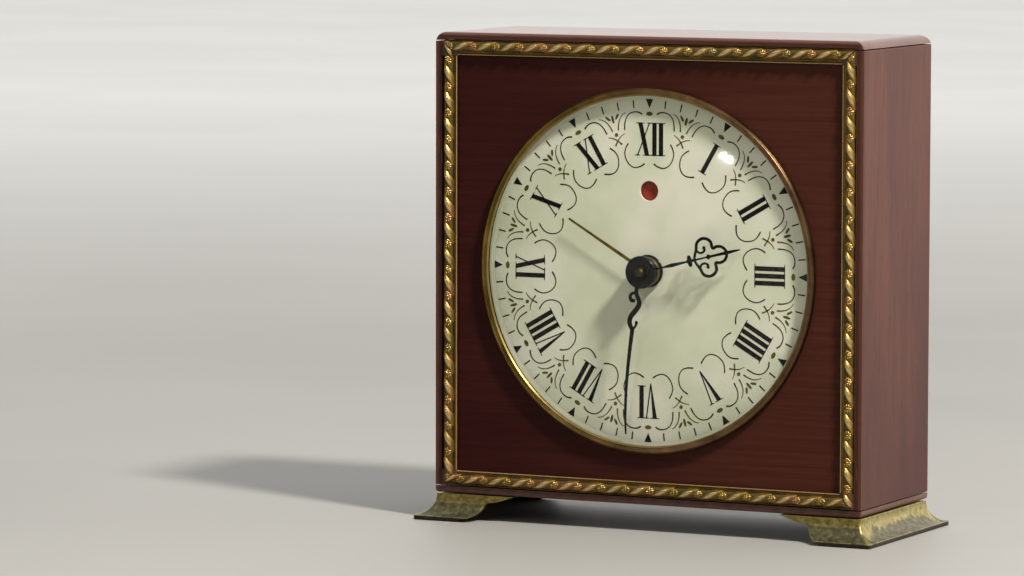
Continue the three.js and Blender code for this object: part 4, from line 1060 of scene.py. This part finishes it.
def make_minute_hand():
    length = 48.8
    straight = 16.0

    def level(z):
        return 6.0 - 5.25 * max(0.0, (z - straight) / (length - straight)) ** 2.6

    bm = bmesh.new()
    add_wire(bm, [(0, 3), (0.35, 5.2), (0.1, 6.6), (-0.75, 7.9), (-1.1, 9.1), (-0.8, 10.2), (0.1, 11.7),
                  (1.0, 13.2), (1.25, 14.5), (0.85, 15.8), (0.15, 16.9), (0, 18.2)],
             (1.3, 1.05, 1.15, 1.3, 1.35, 1.3, 1.25, 1.15, 1.0), level)
    add_wire(bm, [(0.1, 6.5), (1.0, 6.25), (1.8, 6.7), (2.05, 7.6), (1.6, 8.5), (0.9, 8.6)],
             (0.7, 0.75, 0.85, 0.9, 0.9), level)
    add_ball(bm, 0.85, 8.45, 0.62, level)
    add_wire(bm, [(0.5, 16.6), (-0.35, 16.4), (-0.85, 15.7), (-1.0, 14.9)], (0.8, 0.65, 0.6, 0.7), level)
    add_ball(bm, -1.0, 14.7, 0.56, level)
    add_wire(bm, [(0, 16.6), (0, 22), (0, 28), (0, 34), (0, 40), (0, 45), (0, length - 0.1)],
             (1.15, 1.0, 0.9, 0.8, 0.72, 0.64, 0.4), level)
    piece("minute_hand_blade", hand_mesh(bm, MINUTE_ANGLE), "minute", "black",
          ["minute_hand"], smooth=70)
    hub = fillet([(1.1, 5.05), (4.3, 5.05), (4.8, 5.3), (4.8, 6.0), (4.45, 6.36), (3.0, 6.42), (2.2, 6.2),
                  (1.9, 6.05), (1.1, 6.05)], 0.4, 5, closed=True)
    piece("minute_hub", ring(hub), "minute", "black",
          smooth=50)


def make_hour_hand():
    length = 31.6

    def level(z):
        return 4.2 - 0.9 * max(0.0, (z - 12) / (length - 12)) ** 2.6

    bm = bmesh.new()
    add_wire(bm, [(0, 3), (0, 6.6), (0, 9.5), (0, 12.2), (0, 14.6)], (0.8, 0.42, 1.0, 0.7, 0.45), level)
    add_wire(bm, [(-1.0, 15.5), (1.0, 15.5)], (1.15, 1.15), level)
    for x in (-1.15, 1.15):
        add_ball(bm, x, 15.5, 0.62, level)
    add_wire(bm, [(0, 14.5), (0, 17.4)], (0.85, 0.6), level)
    for mirror in (False, True):
        lobes = [(0, 17.0), (1.3, 17.5), (2.9, 18.3), (4.6, 18.9), (5.5, 20.4), (5.3, 22.0), (4.2, 23.2),
                 (2.7, 23.3), (2.15, 23.6), (2.4, 24.8), (2.0, 26.2), (1.0, 27.1), (0, 27.35)]
        add_wire(bm, lobes, (0.6, 0.75, 0.8, 0.8, 0.8, 0.8, 0.78, 0.75, 0.7), level, mirror=mirror)
        add_wire(bm, [(2.6, 18.3), (1.75, 19.0), (1.6, 20.0), (2.1, 20.8), (2.8, 20.8)],
                 (0.6, 0.55, 0.6, 0.75), level, mirror=mirror)
        add_ball(bm, -2.85 if mirror else 2.85, 20.8, 0.55, level)
    add_wire(bm, [(0, 17), (0, 20.6), (0, 21.5), (0, 22.4), (0, 25), (0, 27.5)],
             (0.5, 0.42, 1.45, 0.6, 0.72, 0.85), level, steps=5)
    add_wire(bm, [(0, 26.8), (0, 28.2), (0, 30), (0, length - 0.1)], (0.9, 0.8, 0.6, 0.3), level)
    piece("hour_hand_blade", hand_mesh(bm, HOUR_ANGLE), "hour", "black", ["hour_hand"],
          smooth=70)
    hub = fillet([(2.25, 2.95), (4.25, 2.95), (4.5, 3.25), (4.5, 4.0), (3.85, 4.75), (2.25, 4.75)], 0.5, 5,
                 closed=True)
    piece("hour_hub", ring(hub), "hour", "black")


def make_alarm_hand():
    bm = bmesh.new()
    add_wire(bm, [(0, 3.7), (0, 12), (0, 20), (0, 28.9)], (0.95, 0.85, 0.7, 0.55), lambda z: 2.1, 0.3)
    piece("alarm_hand_blade", hand_mesh(bm, ALARM_ANGLE, 0.06), "alarm", "gold",
          ["alarm_hand"], smooth=70)
    band = fillet([(3.1, 1.25), (4.3, 1.25), (4.3, 2.6), (3.1, 2.6)], 0.2, 4, closed=True)
    piece("alarm_hub_band", ring(band), "alarm", "gold")
    base = fillet([(3.1, 0.4), (4.8, 0.4), (4.8, 1.0), (4.5, 1.22), (3.1, 1.22)], 0.2, 4, closed=True)
    piece("alarm_hub_base", ring(base), "alarm", "black")


def make_nut():
    dome = [(0, 7.3), (0.35, 7.28), (0.7, 7.2), (1.0, 7.05), (1.22, 6.82), (1.3, 6.5), (1.3, 6.12),
            (0, 6.12)]
    piece("centre_cap", evaluated(lathe(dome, 64)), "minute", "nut", ["centre_nut"])


# ---------------------------------------------------------------- back of the case
def screw_mesh(head, shank_end, head_radius, shank_radius, rise):
    """A slotted screw along Z with the underside of its head at 0 and its shank below."""
    bm = bmesh.new()
    profile = [(0, shank_end), (shank_radius * 0.5, shank_end), (shank_radius, shank_end + 0.8),
               (shank_radius, 0), (head_radius, 0), (head_radius, head * 0.45)]
    profile += [(head_radius * math.cos(a), head * 0.45 + rise * math.sin(a))
                for a in [math.pi / 2 * i / 8 for i in range(1, 9)]]
    rows = [[Vector((r * math.cos(a), r * math.sin(a), h)) for r, h in profile]
            for a in circle(40)]
    add_grid(bm, rows, close_rows=True)
    cleaned(bm)
    cutter = bmesh.new()
    bmesh.ops.create_cube(cutter, size=1)
    bmesh.ops.scale(cutter, vec=(head_radius * 3, head_radius * 0.32, head), verts=cutter.verts)
    bmesh.ops.translate(cutter, vec=(0, 0, head * 0.5 + head * 0.45 + rise * 0.15), verts=cutter.verts)
    slot = bpy.data.objects.new("slot", evaluated(cutter))
    bpy.context.scene.collection.objects.link(slot)
    mesh = evaluated(bm, [
        ("BOOLEAN", {"operation": "DIFFERENCE", "object": slot, "solver": "EXACT"}), bevel(0.08, 2, 50)])
    bpy.data.objects.remove(slot)
    return mesh


def make_screws():
    turns = random.Random(11)
    for i in range(1, 5):
        low, high = mm_box(f"cover_screw_{i}")
        x, z = (low.x + high.x) / 2, (low.z + high.z) / 2
        seat = mm_box("back_cover")[1].y + 0.3
        mesh = screw_mesh(high.y - seat, low.y - seat, (high.x - low.x) / 2, 0.9, (high.y - seat) * 0.55)
        mesh.transform(Matrix.Translation((x, seat, z)) @ Matrix.Rotation(-math.pi / 2, 4, "X")
                       @ Matrix.Rotation(turns.uniform(0, math.pi), 4, "Z"))
        piece(f"cover_screw_{i}_slotted", mesh, "case", "steel", [f"cover_screw_{i}"])
    for i in range(1, 5):
        low, high = mm_box(f"foot_screw_{i}")
        x, y = (low.x + high.x) / 2, (low.y + high.y) / 2
        radius = (high.x - low.x) / 2
        mesh = screw_mesh(1.3, -(high.z - low.z - 1.3), radius, 1.3, 0.7)
        mesh.transform(Matrix.Translation((x, y, low.z + 1.3)) @ Matrix.Rotation(math.pi, 4, "X")
                       @ Matrix.Rotation(turns.uniform(0, math.pi), 4, "Z"))
        piece(f"foot_screw_{i}_slotted", mesh, "case", "steel", [f"foot_screw_{i}"])


def node_centre(node):
    low, high = mm_box(node)
    return (low.x + high.x) / 2, (low.z + high.z) / 2 - DIAL_Z


def make_knob(node, name, body, flutes):
    """A moulded knob with a knurled rim and a dished face."""
    low, high = mm_box(node)
    radius = (high.x - low.x) / 2
    front, back = height_of(low.y), height_of(high.y)
    bore = 1.4 if node == "alarm_stop_knob" else 1.2
    side = fillet([(radius * 0.74, front), (radius * 0.74, front - 1.2), (radius, front - 1.7),
                   (radius, back + 0.5), (radius - 0.7, back), (radius * 0.62, back),
                   (radius * 0.5, back + 0.6), (0, back + 0.6)], 0.35, 3)
    rim = []
    for (r0, h0), (r1, h1) in zip(side, side[1:]):
        parts = max(1, int(abs(h1 - h0) / 0.6))
        rim += [(r0 + (r1 - r0) * k / parts, h0 + (h1 - h0) * k / parts) for k in range(parts)]
    profile = [(0, front - 4.2), (bore, front - 4.2), (bore, front)] + rim + [side[-1]]
    knurled = (back + 0.45, front - 1.9, radius * 0.9)
    bm = lathe(profile, flutes * 8, node_centre(node), flutes, 0.28, knurled)
    piece(name, evaluated(bm), body, "plastic", [node], smooth=35)


def make_grommet():
    low, high = mm_box("cord_grommet")
    cover = mm_box("back_cover")
    front, back = height_of(low.y), height_of(high.y)
    inner_face, outer_face = height_of(cover[0].y) + 0.3, height_of(cover[1].y) - 0.3
    radius = (high.x - low.x) / 2
    section = fillet([(2.6, front), (radius, front), (radius, inner_face), (4.9, inner_face),
                      (4.9, outer_face), (radius, outer_face), (radius - 0.4, back), (2.6, back)],
                     0.45, 4, closed=True)
    mesh = ring(section, 64, node_centre("cord_grommet"))
    piece("rubber_grommet", mesh, "case", "plastic", ["cord_grommet"])


# ---------------------------------------------------------------- stage, light and camera
def make_stage():
    bm = bmesh.new()
    bmesh.ops.create_circle(bm, cap_ends=True, radius=14, segments=96)
    mesh = bpy.data.meshes.new("floor")
    bm.to_mesh(mesh)
    bm.free()
    floor = bpy.data.objects.new("floor", mesh)
    bpy.context.scene.collection.objects.link(floor)
    f = Finish("pale_floor", roughness=0.6, specular_ior_level=0.2)
    away = f.add("ShaderNodeVectorMath", {0: f.place}, operation="LENGTH").outputs["Value"]
    cloud = f.noise(300, 3, 0.5)
    near = f.ramp(cloud, (0.4, 0x8a8884), (0.6, 0x8e8c88))
    far = f.ramp(cloud, (0.4, 0xe9e8e4), (0.6, 0xedece8))
    f.set(base_color=f.mix(f.step(away, 0.2, 2.6), near, far))
    mesh.materials.append(f.material)


def add_light(name, direction, distance, size, power, colour):
    light = bpy.data.lights.new(name, "AREA")
    light.shape = "DISK"
    light.size = size
    light.energy = power
    light.color = colour
    obj = bpy.data.objects.new(name, light)
    target = Vector((0, 0, DIAL_Z * MM))
    obj.location = target + Vector(direction).normalized() * distance
    obj.rotation_euler = (target - obj.location).to_track_quat("-Z", "Y").to_euler()
    bpy.context.scene.collection.objects.link(obj)


def make_world():
    """A room that is dark in front of the clock and pale behind it."""
    world = bpy.data.worlds.new("room")
    world.use_nodes = True
    tree = world.node_tree
    place = tree.nodes.new("ShaderNodeTexCoord")
    axes = tree.nodes.new("ShaderNodeSeparateXYZ")
    brighter = tree.nodes.new("ShaderNodeMath")
    brighter.operation = "MAXIMUM"
    tree.links.new(place.outputs["Generated"], axes.inputs[0])
    spreads = (("Y", -0.1, 0.75, 0.08, 1.55), ("Z", 0.45, 1.0, 0.08, 1.0))
    for socket, (axis, start, end, low, high) in zip(brighter.inputs, spreads):
        spread = tree.nodes.new("ShaderNodeMapRange")
        spread.interpolation_type = "SMOOTHSTEP"
        for key, value in (("From Min", start), ("From Max", end), ("To Min", low), ("To Max", high)):
            spread.inputs[key].default_value = value
        tree.links.new(axes.outputs[axis], spread.inputs["Value"])
        tree.links.new(spread.outputs[0], socket)
    background = tree.nodes["Background"]
    background.inputs["Color"].default_value = (0.95, 0.95, 0.93, 1)
    tree.links.new(brighter.outputs[0], background.inputs["Strength"])
    bpy.context.scene.world = world


def make_lights():
    add_light("key", (0.602, -0.287, 0.746), 1.6, 0.2, 44, (1.0, 0.96, 0.9))
    add_light("front_lamp_left", (-0.029, -0.9, 0.446), 1.8, 0.055, 1.1, (1.0, 0.97, 0.92))
    add_light("front_lamp_right", (0.005, -0.9, 0.427), 1.8, 0.055, 1.1, (1.0, 0.97, 0.92))
    add_light("right_wall", (0.95, -0.15, 0.3), 2.2, 1.6, 4.5, (1.0, 0.97, 0.95))
    bpy.context.scene.view_settings.view_transform = "Standard"


def make_camera():
    """The camera at the photograph's viewing angle, with a long lens."""
    yaw, pitch, roll = math.radians(26.29), math.radians(5.06), math.radians(0.11)
    camera = bpy.data.cameras.new("camera")
    camera.sensor_width = 36
    camera.lens = 195.7
    camera.clip_start = 0.01
    camera.clip_end = 100
    obj = bpy.data.objects.new("camera", camera)
    obj.location = (0.6809, -1.4913, 0.2147)
    ahead = Vector((-math.sin(yaw) * math.cos(pitch), math.cos(yaw) * math.cos(pitch), -math.sin(pitch)))
    right = ahead.cross(Vector((0, 0, 1))).normalized()
    up = right.cross(ahead)
    right, up = (math.cos(roll) * right + math.sin(roll) * up, math.cos(roll) * up - math.sin(roll) * right)
    turn = Matrix((right, up, -ahead)).transposed()
    obj.rotation_euler = turn.to_euler()
    bpy.context.scene.collection.objects.link(obj)
    bpy.context.scene.camera = obj


make_camera()
make_stage()
make_world()
make_lights()
paint_nodes()
finish_case()
make_glue_lines()
make_mouldings()
make_foot("left_foot", -1)
make_foot("right_foot", 1)
make_bezel()
make_glass()
make_dial()
make_numerals()
make_minute_track()
make_scrollwork()
make_minute_hand()
make_hour_hand()
make_alarm_hand()
make_nut()
make_screws()
make_knob("time_set_knob", "time_knob_fluted", "set_train", 28)
make_knob("alarm_set_knob", "alarm_knob_fluted", "alarm_set", 24)
make_knob("alarm_stop_knob", "stop_knob_fluted", "alarm_stop", 16)
make_grommet()


def plain(box):
    return [[float(v) for v in corner] for corner in box]
